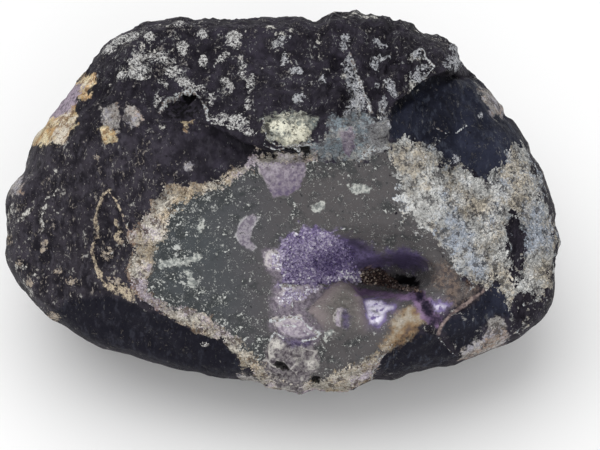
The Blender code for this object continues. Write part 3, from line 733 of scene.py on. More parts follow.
def stone_material(look):
    """The whole stone: skin, salts, rind, agate, bare grains and the pocket's stained lining, with painted
    shade in the pocket, the holes and the crack below the ledge.
    """
    made, w, shader, coords = new_material("broken_geode")
    patch, specks, grains = shared(ragged_patch), shared(pale_specks), shared(mineral_grains)
    at = w.attribute

    def mask(name, wander, softness):
        return w.group(patch, Distance=at(name), Coords=coords, Wander=wander, Softness=softness)["Mask"]

    def layer(share, paint):
        """Paints over the colour so far."""
        nonlocal colour
        colour = w.mix(share, colour, paint)

    def coat(name, wander, softness, paint, share=1.0):
        """Paints over the colour so far where one mark is."""
        layer(w.times(mask(name, wander, softness), share), paint)

    def speckled(over, scale, density):
        return w.group(specks, Coords=over, Scale=scale, Density=density)["Mask"]

    def grained(scale, light, warm, cool, dark):
        return w.group(grains, Coords=coords, Scale=scale, Light=light, Warm=warm, Cool=cool, Dark=dark)

    def edge_line(name, width):
        """A thin line that wanders along the edge of a mark, with gaps in it."""
        near = w.absolute(w.add(at(name), w.off(fine, 8.0)))
        return w.times(w.ramp(near, 0.3, width, 1.0, 0.0), w.ramp(middle, 0.46, 0.54))

    fine = w.noise(coords, 900, 4, 0.65)
    middle = w.noise(coords, 240, 5, 0.65)
    broad = w.noise(coords, 45, 4, 0.6)
    gritty = w.noise(coords, 1500, 3, 0.7)
    streaks = w.node("ShaderNodeMapping", {"Vector": coords, "Scale": (1.0, 0.45, 0.45)}).outputs[0]
    streaky = w.noise(streaks, 700, 4, 0.7)
    across, left, salt = at("across"), at("left"), at("salt")

    # Black skin, bluish where it is broken flat, with flecks and salts
    skin_tone = opaque(look.skin_colour)
    skin = w.colours(
        w.blend((middle, 0.6), (broad, 0.4)), (0.38, 17, 14, 22), (0.50, *skin_tone), (0.62, 52, 48, 59))
    skin = w.mix(w.times(left, 0.5), skin, w.tones(middle, 0.4, 0.6, (30, 28, 34), (64, 60, 66)))
    scar = mask("scar", 1.0, 3.0)
    bluish = w.colours(w.blend((broad, 0.6), (middle, 0.4)), (0.38, 14, 16, 27), (0.62, 40, 44, 60))
    # Painted shade: the scars low on the front and towards the left, which face down, are darkened to near
    # black; the scar at the upper right stays bluish
    bluish = w.mix(w.times(at("upper"), w.ramp(across, 0.3, 0.7)), (18, 18, 28), bluish)
    skin = w.mix(w.times(scar, 0.9), skin, bluish)
    # Painted shade: the crack below the ledge is darkened almost to black
    skin = w.mix(w.times(at("shaded_groove"), 0.8), skin, (6, 6, 9))
    open_skin = w.less(w.times(scar, 0.7))
    # Painted highlights on the skin's raised streaks, stronger towards the left
    streak_highlights = w.ramp(w.blend((streaky, 0.7), (fine, 0.3)), 0.49, 0.62)
    colour = w.mix(w.times(streak_highlights, w.ramp(left, 0.0, 1.0, 0.2, 0.45), open_skin), skin, (84, 81, 89))
    flecks = w.most(
        speckled(coords, 1000.0, w.add(w.times(salt, 0.26), -0.03)),
        speckled(streaks, 2000.0, w.blend((salt, 0.15), (left, 0.03))))
    fleck_colour = w.tones(middle, 0.42, 0.58, (150, 142, 134), (182, 184, 182))
    fleck_colour = w.mix(w.ramp(left, 0.0, 1.0, 0.5, 0.0), fleck_colour, (112, 112, 116))
    fleck_colour = w.mix(w.times(left, 0.5), fleck_colour, (132, 124, 118))
    layer(w.times(flecks, 0.8, open_skin), fleck_colour)
    salty = speckled(coords, 290.0, w.add(w.times(salt, 0.5), -0.12))
    salty = w.times(salty, w.less(w.times(scar, 0.6)))
    crumbs = w.ramp(gritty, 0.40, 0.58)
    layer(w.times(salty, 0.9), w.mix(crumbs, (84, 82, 84), opaque(look.salt_colour)))
    scratches = w.times(w.ramp(streaky, 0.54, 0.64), scar, w.ramp(across, 0.4, 0.8, 0.12, 0.32))
    layer(scratches, (72, 78, 92))

    # Clusters of salt crumbs, drawn out like lace
    lace = w.absolute(w.add(w.noise(coords, 480, 3, 0.6, distortion=1.2), -0.5))
    ragged = w.add(w.off(fine, 4.5), w.off(crumbs, 0.7), w.off(w.noise(coords, 430, 3, 0.6), 4.0))
    ragged = w.add(ragged, w.ramp(lace, 0.0, 0.07, 0.5, -0.5))
    crumb = w.add(at("crumb"), w.times(ragged, w.ramp(at("crumb"), 0.0, 0.3)))
    crumb_mask = w.ramp(crumb, 0.34, 0.50)
    crumb_colour = w.tones(w.noise(coords, 1900, 3, 0.7), 0.42, 0.56, (104, 101, 102), (212, 212, 210))
    crumb_colour = w.mix(w.times(w.ramp(across, 0.3, 0.7), 0.4), crumb_colour, (150, 156, 170))
    tan = w.tones(fine, 0.42, 0.58, (106, 94, 88), (178, 162, 142))
    crumb_colour = w.mix(w.times(left, 0.8), crumb_colour, tan)
    layer(w.times(crumb_mask, 0.9), crumb_colour)

    # Patches of grains on the skin
    for name, wander, softness, scale, *paints in SKIN_PATCHES:
        coat(name, wander, softness, grained(scale, *paints)["Color"])
    coat("mauve", 1.2, 1.0, w.colours(fine, (0.40, 98, 88, 100), (0.60, 176, 162, 176)))
    bright = w.times(w.ramp(w.add(at("lump"), w.off(middle, 50.0)), 6.0, 14.0), w.ramp(fine, 0.42, 0.50))
    layer(w.times(bright, 0.85), (234, 232, 214))

    # Mixed grains over the ledge, and the rind
    mixed = grained(1100.0, (164, 164, 166), (200, 198, 192), (138, 150, 158), (92, 90, 94))
    mixed_mask = mask("mixed", 4.0, 3.0)
    layer(mixed_mask, mixed["Color"])
    rind = grained(1500.0, (210, 204, 192), (198, 182, 158), (180, 170, 182), (80, 66, 58))
    rind_mask = mask("rind", 3.0, 1.0)
    rust = w.times(w.ramp(at("rind"), 1.0, 9.0, 1.0, 0.0), left, w.ramp(middle, 0.40, 0.56), 0.65)
    layer(rind_mask, w.mix(rust, rind["Color"], (150, 122, 102)))

    # Agate with its dust, specks and flakes, the knob, and the bare quartz over its edge
    agate = w.colours(
        w.blend((across, 0.75), (broad, 0.5)), (0.30, 70, 74, 77), (0.52, 79, 78, 81), (0.72, 84, 81, 82))
    rim_shade = w.times(w.ramp(at("agate"), 4.0, 34.0, 1.0, 0.0), w.ramp(across, 0.2, 0.8, 1.0, 0.3))
    agate = w.mix(w.ramp(w.add(middle, w.times(rim_shade, 0.14)), 0.50, 0.66, 0.0, 0.75), agate, (54, 57, 58))
    agate = w.mix(w.ramp(fine, 0.52, 0.70, 0.0, 0.4), agate, (122, 124, 126))
    agate_mask = mask("agate", 4.0, 1.2)
    layer(agate_mask, agate)
    ground = w.tones(fine, 0.40, 0.60, (104, 95, 108), (150, 140, 152))
    coat("ground", 3.0, 6.0, ground, 0.75)
    # Painted light: the knob is paler near its edge than in its middle and is laid only on its upper part, so
    # its upper rim looks lit
    knob = w.tones(at("knob"), 2.0, 18.0, (138, 127, 128), (100, 97, 94))
    knob = w.mix(w.ramp(fine, 0.44, 0.60, 0.0, 0.45), knob, (146, 138, 134))
    coat("knob", 0.8, 2.0, knob, at("upper"))
    chipped = w.add(at("chipped"), w.times(rim_shade, 0.4))
    pale = w.most(*[
        w.times(speckled(coords, scale, w.add(w.times(chipped, density), shift)), share)
        for scale, density, shift, share in AGATE_SPECKS])
    layer(w.times(pale, agate_mask), (206, 208, 204))
    rusty = w.tones(fine, 0.40, 0.60, (70, 63, 64), (126, 110, 100))
    coat("rusty", 5.0, 8.0, rusty, w.ramp(middle, 0.40, 0.54, 0.35, 0.9))
    crust = grained(1300.0, (208, 209, 207), (196, 187, 172), (160, 168, 180), (58, 58, 62))
    crust_mask = mask("grainy", 5.5, 1.2)
    layer(crust_mask, crust["Color"])

    # Lilac plates, the broken mass, the crescent and the chips
    frost = w.add(at("tone"), w.off(fine, 2.4))
    lilac = w.colours(
        frost, (0.0, 98, 88, 110), (0.4, 136, 127, 138), (0.7, 168, 159, 170), (1.0, 204, 198, 198))
    coat("lilac", 1.2, 1.0, lilac, 0.95)
    broken = w.colours(
        frost, (0.0, 66, 60, 66), (0.35, 112, 106, 110), (0.7, 158, 154, 152), (1.0, 206, 202, 196))
    broken_mask = mask("broken", 2.4, 1.6)
    layer(w.times(broken_mask, 0.95), broken)
    crest = w.times(w.ramp(at("joint"), 0.02, 0.16, 1.0, 0.0), w.ramp(middle, 0.48, 0.54))
    layer(w.times(crest, broken_mask, 0.6), (212, 208, 202))
    # Painted highlights along the lilac plates' edges, stronger where the plates are paler
    lilac_edge_highlight = w.times(edge_line("lilac", 1.5), w.ramp(at("tone"), 0.4, 0.75, 0.1, 0.8))
    layer(lilac_edge_highlight, (206, 201, 197))
    crescent = w.tones(fine, 0.42, 0.58, (118, 110, 124), (166, 160, 168))
    coat("crescent", 0.6, 0.8, crescent, 0.85)
    layer(w.times(edge_line("crescent", 1.4), 0.7), (196, 194, 196))
    chips = w.tones(fine, 0.42, 0.58, (130, 134, 132), (204, 206, 200))
    coat("chips", 3.0, 1.2, chips, 0.85)

    # The pocket: druse bed, smooth roof, stained slot and milky lip, with painted shade in its hollows and
    # the slot painted black as shade
    bed = w.colours(fine, (0.36, 70, 60, 96), (0.5, 118, 106, 142), (0.62, 186, 178, 198))
    coat("druse", 5.0, 4.0, bed)
    roof = w.colours(middle, (0.38, 58, 53, 70), (0.5, 80, 72, 95), (0.62, 104, 92, 132))
    coat("roof", 3.0, 5.0, roof, 0.88)
    coat("violet", 2.0, 4.0, w.tones(fine, 0.4, 0.6, (62, 54, 80), (98, 88, 122)), 0.8)
    ochre = w.colours(
        middle, (0.38, 100, 84, 74), (0.46, 142, 116, 86), (0.54, 156, 140, 118), (0.62, 178, 168, 154))
    coat("ochre", 2.4, 4.0, ochre, 0.85)
    layer(w.ramp(at("milk"), -10.0, 3.0, 0.0, 0.5), (120, 108, 130))
    coat("band", 2.0, 2.4, w.tones(middle, 0.4, 0.6, (104, 84, 116), (140, 116, 148)), 0.88)
    milk = w.colours(
        w.noise(coords, 520, 4, 0.6), (0.38, 112, 98, 146), (0.45, 200, 194, 216), (0.6, 232, 228, 240))
    coat("milk", 1.8, 1.6, w.mix(w.ramp(at("milk"), 0.0, 5.0), (120, 108, 148), milk))
    coat("lip", 0.5, 0.8, w.tones(fine, 0.42, 0.58, (108, 94, 94), (168, 150, 144)), 0.8)
    brown = w.colours(fine, (0.42, 40, 31, 34), (0.54, 84, 68, 66), (0.64, 176, 154, 144))
    coat("brown", 2.4, 2.4, brown)
    # Painted shade in the pocket's hollows
    layer(w.ramp(w.add(at("shade"), w.off(fine, 1.2)), 0.0, 1.0), (30, 25, 40))
    # The slot painted near black as shade
    coat("slot", 2.0, 2.0, (8, 7, 9))

    # Holes painted black as shade, and pale veins
    shaded_hole = w.ramp(w.add(at("shaded_hole"), w.off(fine, 2.0)), 0.15, 0.5)
    layer(w.times(shaded_hole, 0.92), (7, 6, 8))
    vein = w.ramp(w.add(at("vein"), w.off(fine, 5.0), w.off(middle, 3.0)), 0.1, 0.8)
    vein_colour = w.mix(left, (200, 204, 206), (198, 184, 160))
    vein_colour = w.mix(w.ramp(gritty, 0.42, 0.54), (112, 100, 94), vein_colour)
    layer(w.times(vein, 0.9), vein_colour)

    # Gloss and relief
    matt = w.most(salty, crust_mask, rind_mask)
    rough = w.blend((w.ramp(fine, 0.35, 0.65, 0.52, 0.70), 1.0), (matt, 0.2), (mask("roof", 2.0, 6.0), -0.2))
    skin_relief = w.blend((fine, 0.55), (streaky, 0.6), (w.most(crumb_mask, salty, flecks), 0.35))
    grain_relief = w.blend((crust["Height"], 0.8), (fine, 0.5))
    agate_relief = w.blend((middle, 0.3), (fine, 0.2), (pale, 0.25))
    grainy = w.most(crust_mask, rind_mask, mixed_mask)
    relief = w.blend((skin_relief, w.less(grainy)), (grain_relief, grainy))
    relief = w.blend((relief, w.less(agate_mask)), (agate_relief, agate_mask))
    normal = w.bump(relief, 0.9, 0.55 * MM)
    w.join(shader, {"Base Color": colour, "Roughness": rough, "Specular IOR Level": 0.08, "Normal": normal})
    return made


def crystal_material(look):
    """Amethyst points: clear and purple, paler or browner from one to the next."""
    made, w, shader, coords = new_material("amethyst")
    tint = w.attribute("tint")
    purple = w.colours(
        w.blend((tint, 0.8), (w.noise(coords, 160, 2), 0.3)),
        (0.15, 88, 76, 118), (0.5, *opaque(look.amethyst_colour)),
        (0.8, 206, 198, 218), (0.95, 248, 246, 252))
    brown = w.colours(tint, (0.3, 46, 36, 38), (0.75, 108, 88, 80), (0.95, 226, 208, 190))
    colour = w.mix(w.attribute("stain"), purple, brown)
    normal = w.bump(w.noise(coords, 2600, 2), 0.3, 0.05 * MM)
    w.join(shader, {"Base Color": colour, "Roughness": 0.14, "IOR": 1.54, "Transmission Weight": 0.25})
    w.join(shader, {"Normal": normal})
    return made


def grain_material(look):
    """Bare quartz grains: grey, cream, bluish and a few rusty ones."""
    made, w, shader, coords = new_material("quartz_grain")
    tint = w.attribute("tint")
    warm, cool, dark, cloud = grain_drift(w, coords, [w.times(tint, size) for size in (0.14, 0.12, 0.12)])
    crust = w.mix(cool, w.mix(warm, opaque(look.grain_colour), (202, 192, 174)), (163, 169, 179))
    rind = w.mix(cool, w.mix(warm, (218, 212, 200), (200, 184, 160)), (184, 174, 184))
    colour = w.mix(w.attribute("rind"), crust, rind)
    colour = w.mix(w.ramp(tint, 0.0, 0.35, 0.55, 0.0), colour, (92, 86, 84))
    colour = w.mix(w.ramp(tint, 0.7, 1.0, 0.0, 0.5), colour, (214, 210, 204))
    colour = w.mix(w.times(dark, 0.85), w.scaled(colour, cloud), (68, 66, 68))
    dirt = w.noise(coords, 1500, 3, 0.6)
    colour = w.mix(w.ramp(dirt, 0.5, 0.62, 0.0, 0.4), colour, (70, 66, 64))
    rough, normal = w.ramp(dirt, 0.35, 0.65, 0.35, 0.6), w.bump(dirt, 0.6, 0.12 * MM)
    w.join(shader, {"Base Color": colour, "Roughness": rough, "Normal": normal})
    return made


def floor_material(look):
    made, w, shader, coords = new_material("pale_floor")
    shaded = opaque([0.97 * value for value in look.floor_colour])
    colour = w.mix(w.noise(coords, 6, 2), opaque(look.floor_colour), shaded)
    w.join(shader, {"Base Color": colour, "Roughness": 0.9, "Specular IOR Level": 0.1})
    return made


def as_mesh(name, bm):
    mesh = bpy.data.meshes.new(name)
    bm.to_mesh(mesh)
    bm.free()
    return mesh


def add_object(name, data):
    made = bpy.data.objects.new(name, data)
    bpy.context.scene.collection.objects.link(made)
    return made


def add_piece(name, bm, material):
    mesh = as_mesh(name, bm)
    mesh.materials.append(material)
    return add_object(name, mesh)


def fine_ball(look):
    """A ball whose faces are small where the stone's face is looked at."""
    bm = bmesh.new()
    bmesh.ops.create_icosphere(bm, subdivisions=BALL_SUBDIVISIONS, radius=1)
    x, y, share, _, on_front = ball_places(vertex_array(bm), look.front_share)
    placed = in_row_frame(x, y, np.where(on_front, BALL_BULGE * np.sqrt(1 - share**2), 0))
    corners = np.array([[v.index for v in f.verts] for f in bm.faces])
    a, b, c = (placed[corners[:, i]] for i in range(3))
    area = np.linalg.norm(np.cross(b - a, c - a), axis=1) / 2
    detailed = patch_distance(x[corners].mean(1), y[corners].mean(1), [AGATE_FACE_PX, GRAINY_FACE_PX])
    wanted = np.where(on_front[corners].all(1), 0.55 + 0.45 * smooth_step(-15, 5, detailed), 0.1)
    largest = np.argsort(-area * wanted, kind="stable")[: look.split_faces]
    bm.faces.ensure_lookup_table()
    edges = sorted({e for i in largest for e in bm.faces[int(i)].edges}, key=lambda e: e.index)
    bmesh.ops.subdivide_edges(bm, edges=edges, cuts=1, use_grid_fill=True)
    bmesh.ops.triangulate(bm, faces=bm.faces[:])
    for vert in bm.verts:
        vert.co.normalize()
    return bm


def mark_distance(x, y, name):
    return patch_distance(x, y, [outline for mark, *outline in MARKS if mark == name])


def region_masks(x, y):
    """The distances in pixels to the edges of the marks, positive inside them."""
    marks = {name: mark_distance(x, y, name) for name in dict.fromkeys(row[0] for row in MARKS)}
    grainy = np.minimum(edge_distance(x, y, GRAINY_FACE_PX), -marks.pop("island"))
    under_grains = (x > 388) & (x < 420 + 0.5 * (y - 153)) & (y > 153) & (y < 272)
    no_rind = (x > 392) | ((x > 318) & (y < 200))
    marks["grainy"] = grainy
    marks["agate"] = np.where(under_grains, np.maximum(marks["agate"], grainy + 8), marks["agate"])
    marks["rind"] = np.where(no_rind, -30, edge_distance(x, y, AGATE_FACE_PX))
    marks["lilac"] = patch_distance(x, y, [outline for _, *outline in LILAC_PLATES])
    marks["lip"] = 1.5 - line_distance(x, y, LIP_LINE)
    return marks


def strongest(x, y, places):
    """The highest of several rounded bumps, each with its strength last."""
    return np.max([strength * rounded_bump(x, y, *place) for *place, strength in places], axis=0)


def salt_density(x, y):
    return strongest(x, y, SALTS) - strongest(x, y, QUIET)


def plate_tone(x, y):
    """How pale the lilac plates and the broken mass are; each plate is paler towards its upper left and
    darker towards its lower right, as painted light and shade.
    """
    nearest, tone = np.full(x.shape, -1e9), np.zeros(x.shape)
    for pale, *outline in LILAC_PLATES:
        inside = edge_distance(x, y, outline)
        middle_x, middle_y = np.mean(outline, axis=0)
        slope = (0.4 * (middle_x - x) + middle_y - y) * TONE_SLOPE
        tone = np.where(inside > nearest, pale + slope, tone)
        nearest = np.maximum(nearest, inside)
    broken = BROKEN_TONE + strongest(x, y, BROKEN_LIGHTS)
    return np.where(mark_distance(x, y, "broken") > nearest, broken, tone)


def vein_strength(x, y):
    """Above 0 on the thin pale lines."""
    return np.max([1.3 - line_distance(x, y, points) / width for width, *points in VEINS], axis=0)


def stone_relief(x, y, points, near_front, share, marks, look):
    """How far each point of the stone is moved along its normal, in metres. Adds two marks."""
    tilted, joints = plates(points, PLATE_SIZE)
    marks["joint"] = joints
    marks["shaded_groove"] = ledge_groove(x, y) * near_front

    lumps, fine = fractal(points, LUMP_SIZE, 2), fractal(points, FINE_SIZE, 3)
    _, pitted = plates(points, PIT_SIZE)
    bumpy = smooth_step(0, 0.5, pitted)
    grainy, agate = smooth_step(-2, 2, marks["grainy"]), smooth_step(-2, 2, marks["agate"])
    rind = smooth_step(-2, 2, marks["rind"]) * (1 - agate)
    smooth = np.maximum(smooth_step(-4, 6, marks["scar"]), smooth_step(-6, 4, marks["roof"]))
    top = smooth_step(150, 100, y) * near_front
    near_edge = 0.5 + 0.5 * smooth_step(0.98, 0.9, share)

    # The rough skin, smooth towards the agate and the scars
    skin = 1 - near_front * smooth_step(-6, 4, edge_distance(x, y, AGATE_FACE_PX))
    relief = skin * near_edge * (1.5 * fractal(points, SWELL_SIZE, 3) + (0.5 + 0.5 * top) * lumps)
    skin = near_edge * (1 - np.maximum(grainy, np.maximum(agate, rind))) * (1 - 0.75 * smooth)
    relief += skin * (0.2 + 0.25 * top) * fine
    relief -= skin * (0.2 + 0.4 * top) * smooth_step(0.5, 0, pitted)
    slanted = np.column_stack([(x + 0.35 * y) * PX * 3.2, (y - 0.35 * x) * PX * 0.6, 0 * x])
    relief += 2.4 * near_front * rounded_bump(x, y, *RIDGED) * fractal(slanted, RIDGE_SIZE, 2)
    relief += 0.2 * np.clip(marks["salt"], 0, 1) * smooth_step(0.1, 0.6, fine)
    relief += 0.35 * marks["crumb"] * (1 + fine) - marks["shaded_hole"]

    # The broken face
    relief += grainy * (0.35 * fine + 0.45 * bumpy)
    relief += rind * (0.45 + 0.3 * fine + 0.35 * bumpy)
    chipped = smooth_step(0, 0.35, plates(points, CHIP_SIZE)[1])
    relief += agate * (0.08 * fine + 0.25 * chipped) * (1 - smooth)
    relief -= GROOVE_DEPTH * marks["shaded_groove"] + 0.5 * smooth_step(-1.2, 1.2, marks["crescent"])
    relief += smooth_step(-1, 1, marks["lilac"]) * (0.3 + 0.8 * np.clip(marks["tone"], 0, 1))
    relief += 0.3 * smooth_step(-1.2, 1.2, marks["chips"])
    relief += smooth_step(-2, 3, marks["lump"]) * (0.5 + 0.5 * fine + 0.4 * bumpy)
    bulge = smooth_step(-1, 8, marks["knob"]) - 0.25 * smooth_step(2, 0, np.abs(marks["knob"] + 1.5))
    relief += 1.1 * marks["upper"] * bulge
    broken = 0.3 * fine + 0.8 * tilted + 1.3 * strongest(x, y, BROKEN_LIGHTS)
    relief += smooth_step(-3, 3, marks["broken"]) * broken
    relief -= 0.6 * smooth_step(-1.5, 1.5, marks["flaked"]) * (1 - rind)
    relief += 0.3 * smooth_step(-1.5, 1.5, np.maximum(marks["pink"], marks["yellow"]))
    relief += 0.25 * smooth_step(0.1, 1, marks["vein"])
    return relief * MM * look.relief


def build_stone(look):
    bm = fine_ball(look)
    x, y, share, angle, on_front = ball_places(vertex_array(bm), look.front_share)
    rim = edge_depth(angle)
    back = rim - (BACK_RISE + rim) * np.sqrt(np.clip(1 - share**2.3, 0, 1))
    points = in_row_frame(x, y, np.where(on_front, front_depth(x, y), back))
    for vert, point in zip(bm.verts, points):
        vert.co = point
    bm.normal_update()

    behind = np.where(on_front, 0, (rim - back) / PX)
    near_front = 1 - smooth_step(0, BACK_REACH_PX, behind)
    marks = {name: value - BACK_FADE * behind for name, value in region_masks(x, y).items()}
    marks["vein"] = vein_strength(x, y) - BACK_FADE * behind
    salty_back = 0.45 * smooth_step(-0.15, 0.45, fractal(points, SALT_SIZE, 3))
    marks["salt"] = near_front * salt_density(x, y) + (1 - near_front) * salty_back
    marks["crumb"] = near_front**4 * strongest(x, y, [(*place, 1.0) for place in CRUMBS])
    marks["shaded_hole"] = near_front * strongest(x, y, SHADED_HOLES)
    marks["shade"] = near_front * strongest(x, y, SHADES)
    marks["tone"] = plate_tone(x, y)
    marks["upper"] = smooth_step(342, 304, y)
    relief = stone_relief(x, y, points, near_front, share, marks, look)
    for vert, lift in zip(bm.verts, relief):
        vert.co += vert.normal * lift

    del marks["flaked"]
    marks["across"] = smooth_step(150, 400, x)
    marks["left"] = smooth_step(230, 120, x) * smooth_step(90, 170, y)
    marks["chipped"] = 0.48 - 0.28 * smooth_step(190, 300, x) + 0.15 * smooth_step(320, 400, y)
    stored = {name: bm.verts.layers.float.new(name) for name in marks}
    bm.verts.ensure_lookup_table()
    for name, layer in stored.items():
        for vert, value in zip(bm.verts, marks[name]):
            vert[layer] = value

    whole = bm.verts[:] + bm.edges[:] + bm.faces[:]
    cut = bmesh.ops.bisect_plane(bm, geom=whole, plane_co=(0, 0, 0), plane_no=(0, 0, -1), clear_outer=True)
    open_edges = [e for e in cut["geom_cut"] if isinstance(e, bmesh.types.BMEdge)]
    bmesh.ops.edgeloop_fill(bm, edges=open_edges)
    bmesh.ops.triangulate(bm, faces=bm.faces[:])
    bmesh.ops.recalc_face_normals(bm, faces=bm.faces[:])
    made = add_piece("geode_stone", bm, stone_material(look))
    made.data.shade_smooth()
    return made


def scattered(rng, box, count):
    """Random places in a box of the picture, as arrays."""
    left, top, right, bottom = box
    return np.array([(rng.uniform(left, right), rng.uniform(top, bottom)) for _ in range(count)]).T


def facing(normal, rng):
    """A turn that stands a piece on a surface, spun at random about its normal."""
    spin = Matrix.Rotation(rng.uniform(0, math.tau), 3, "Z")
    return (normal.to_track_quat("Z", "Y").to_matrix() @ spin).to_4x4()


def seen_on(made, x, y):
    """Where the line of sight through a place meets an object, with its normal there."""
    eye = eye_point()
    end = in_row_frame(np.array([x]), np.array([y]), np.zeros(1))[0]
    hit, place, normal, _ = made.ray_cast(eye, (Vector(end) - eye).normalized())
    if not hit:
        raise RuntimeError("a line of sight misses the stone")
    return place, normal


def add_copies(template, placings):
    """Many placed copies of one small mesh as a bmesh, with the values of each kept on its points."""
    bm = bmesh.new()
    count = len(template.vertices)
    corners = np.empty(count * 3, np.float32)
    template.vertices.foreach_get("co", corners)
    for name in placings[0][1]:
        template.attributes.new(name, "FLOAT", "POINT")
    for matrix, values in placings:
        template.vertices.foreach_set("co", corners)
        template.transform(matrix)
        for name, value in values.items():
            template.attributes[name].data.foreach_set("value", np.full(count, value, np.float32))
        bm.from_mesh(template)
    bpy.data.meshes.remove(template)
    return bm


def point_template():
    """A six-sided crystal: a short prism under a pyramid, one unit wide, its foot at the origin."""
    bm = bmesh.new()
    turns = [math.tau * i / 6 for i in range(6)]
    rings = [
        [bm.verts.new((radius * math.sin(turn), radius * math.cos(turn), height)) for turn in turns]
        for radius, height in ((0.5, 0.5 - PRISM_HEIGHT), (0.5, 0.5), (0.04, 0.5 + POINT_HEIGHT))]
    for lower, upper in zip(rings, rings[1:]):
        for i in range(6):
            bm.faces.new((lower[i - 1], lower[i], upper[i], upper[i - 1]))
    bm.faces.new(rings[0])
    bm.faces.new(rings[-1])
    bmesh.ops.triangulate(bm, faces=bm.faces[:])
    bmesh.ops.recalc_face_normals(bm, faces=bm.faces[:])
    return as_mesh("point_template", bm)


def grain_template():
    bm = bmesh.new()
    bmesh.ops.create_icosphere(bm, subdivisions=1, radius=0.5)
    return as_mesh("grain_template", bm)


def grow_druse(stone, look):
    rng = random.Random(look.crystal_seed)
    placings = []
    x, y = scattered(rng, DRUSE_BOX, look.crystal_tries)
    druse, brown = mark_distance(x, y, "druse"), mark_distance(x, y, "brown")
    glint = edge_distance(x, y, GLINT_PX)
    frosted = patch_distance(x, y, [outline for _, *outline in LILAC_PLATES[1:3]])
    darker, glittering, fading = (rounded_bump(x, y, *place) for place in DRUSE_TONES)
    for i in range(len(x)):
        keep = max(druse[i] + 1, brown[i] + 1, glint[i], 0.45 * frosted[i] - 0.5)
        if keep < rng.uniform(0, 3 + 9 * fading[i]):
            continue
        place, normal = seen_on(stone, x[i], y[i])
        width = look.crystal_width * rng.uniform(0.55, 1.25) * (1.0 if druse[i] > 0 else 0.8)
        lean = Vector([rng.gauss(0, CRYSTAL_LEAN) for _ in range(3)])
        turn = facing((normal + lean).normalized(), rng)
        size = Matrix.Diagonal((width, width, width * rng.uniform(0.7, 1.15), 1))
        foot = Matrix.Translation(place - normal * width * CRYSTAL_SUNK)
        stained = max(brown[i], glint[i]) > druse[i] * 0.6
        paler = 0.25 if frosted[i] > 0 and not stained else 0.0
        # Painted glints: some crystals here are made pale; those deep in the hollow or where the druse thins
        # are made darker as painted shade
        if rng.random() < 0.3 * glittering[i]:
            paler = 0.6
        tint = min(1.0, max(0.0, rng.gauss(0.5, 0.2) + paler - 0.4 * max(darker[i], fading[i])))
        placings.append((foot @ turn @ size, {"tint": tint, "stain": float(stained)}))
    return add_piece("amethyst_druse", add_copies(point_template(), placings), crystal_material(look))


def scatter_grains(stone, look):
    rng = random.Random(look.grain_seed)
    placings = []
    x, y = scattered(rng, GRAIN_BOX, look.grain_tries)
    marks = region_masks(x, y)
    right, up = x - CENTRE_PX[0], CENTRE_PX[1] - y
    share = np.hypot(right, up) / outline_radius(np.arctan2(up, right))
    rind = np.minimum(marks["rind"], -marks["agate"])
    ragged = 5 * fractal(np.column_stack([x, y, 0 * x]), 16, 4)
    for i in range(len(x)):
        on_crust = marks["grainy"][i] + ragged[i] > rng.uniform(0, 3)
        on_rind = rind[i] > rng.uniform(-1, 2)
        if not (on_crust or on_rind) or share[i] > GRAINS_END_SHARE:
            continue
        place, normal = seen_on(stone, x[i], y[i])
        width = look.grain_width * rng.uniform(0.5, 1.3) * (0.8 if on_rind else 1.0)
        size = [width * rng.uniform(low, high) for low, high in ((0.7, 1.3), (0.7, 1.2), (0.5, 1.0))]
        foot = Matrix.Translation(place - normal * width * GRAIN_SUNK)
        matrix = foot @ facing(normal, rng) @ Matrix.Diagonal((*size, 1))
        placings.append((matrix, {"tint": rng.random(), "rind": float(on_rind and not on_crust)}))
    return add_piece("quartz_grains", add_copies(grain_template(), placings), grain_material(look))


class GeodeLook(bpy.types.PropertyGroup):
    skin_colour: FloatVectorProperty(
        name="Skin colour", description="The black skin's middle tone", subtype="COLOR",
        default=linear((33, 30, 38))[:3])
    salt_colour: FloatVectorProperty(
        name="Salt colour", description="White salts on the skin", subtype="COLOR",
        default=linear((206, 204, 198))[:3])
    grain_colour: FloatVectorProperty(
        name="Grain colour", description="Bare quartz grains", subtype="COLOR",
        default=linear((212, 212, 209))[:3])
    amethyst_colour: FloatVectorProperty(
        name="Amethyst colour", description="The druse's middle tone", subtype="COLOR",
        default=linear((146, 132, 172))[:3])
    floor_colour: FloatVectorProperty(
        name="Floor colour", description="The pale floor", subtype="COLOR", default=(0.93, 0.93, 0.93))
    relief: FloatProperty(
        name="Relief", description="How strongly the stone's surface is broken up", default=1.0,
        min=0.0, max=2.0)
    front_share: FloatProperty(
        name="Front share", description="Share of the ball's points that go to the front",
        default=0.74, min=0.5, max=0.9)
    split_faces: IntProperty(
        name="Split faces", description="How many of the ball's faces are cut in four", default=35500, min=0)
    crystal_width: FloatProperty(
        name="Crystal width", description="Width of a quartz point", subtype="DISTANCE", unit="LENGTH",
        default=0.66 * MM)
    crystal_tries: IntProperty(
        name="Crystal tries", description="Random places tried for a point", default=14000, min=1)
    crystal_seed: IntProperty(
        name="Crystal seed", description="Start of the points' random draws", default=11)
    grain_width: FloatProperty(
        name="Grain width", description="Width of a bare quartz grain", subtype="DISTANCE", unit="LENGTH",
        default=0.62 * MM)
    grain_tries: IntProperty(
        name="Grain tries", description="Random places tried for a grain", default=44000, min=1)
    grain_seed: IntProperty(
        name="Grain seed", description="Start of the grains' random draws", default=5)
    key_power: FloatProperty(
        name="Key light", description="Power of the soft light overhead", subtype="POWER", default=8.0,
        min=0.0)
    fill_power: FloatProperty(
        name="Fill light", description="Power of the soft light by the camera", subtype="POWER",
        default=4.8, min=0.0)
    sky_strength: FloatProperty(
        name="Surroundings", description="Strength of the even light all round", default=0.64, min=0.0)


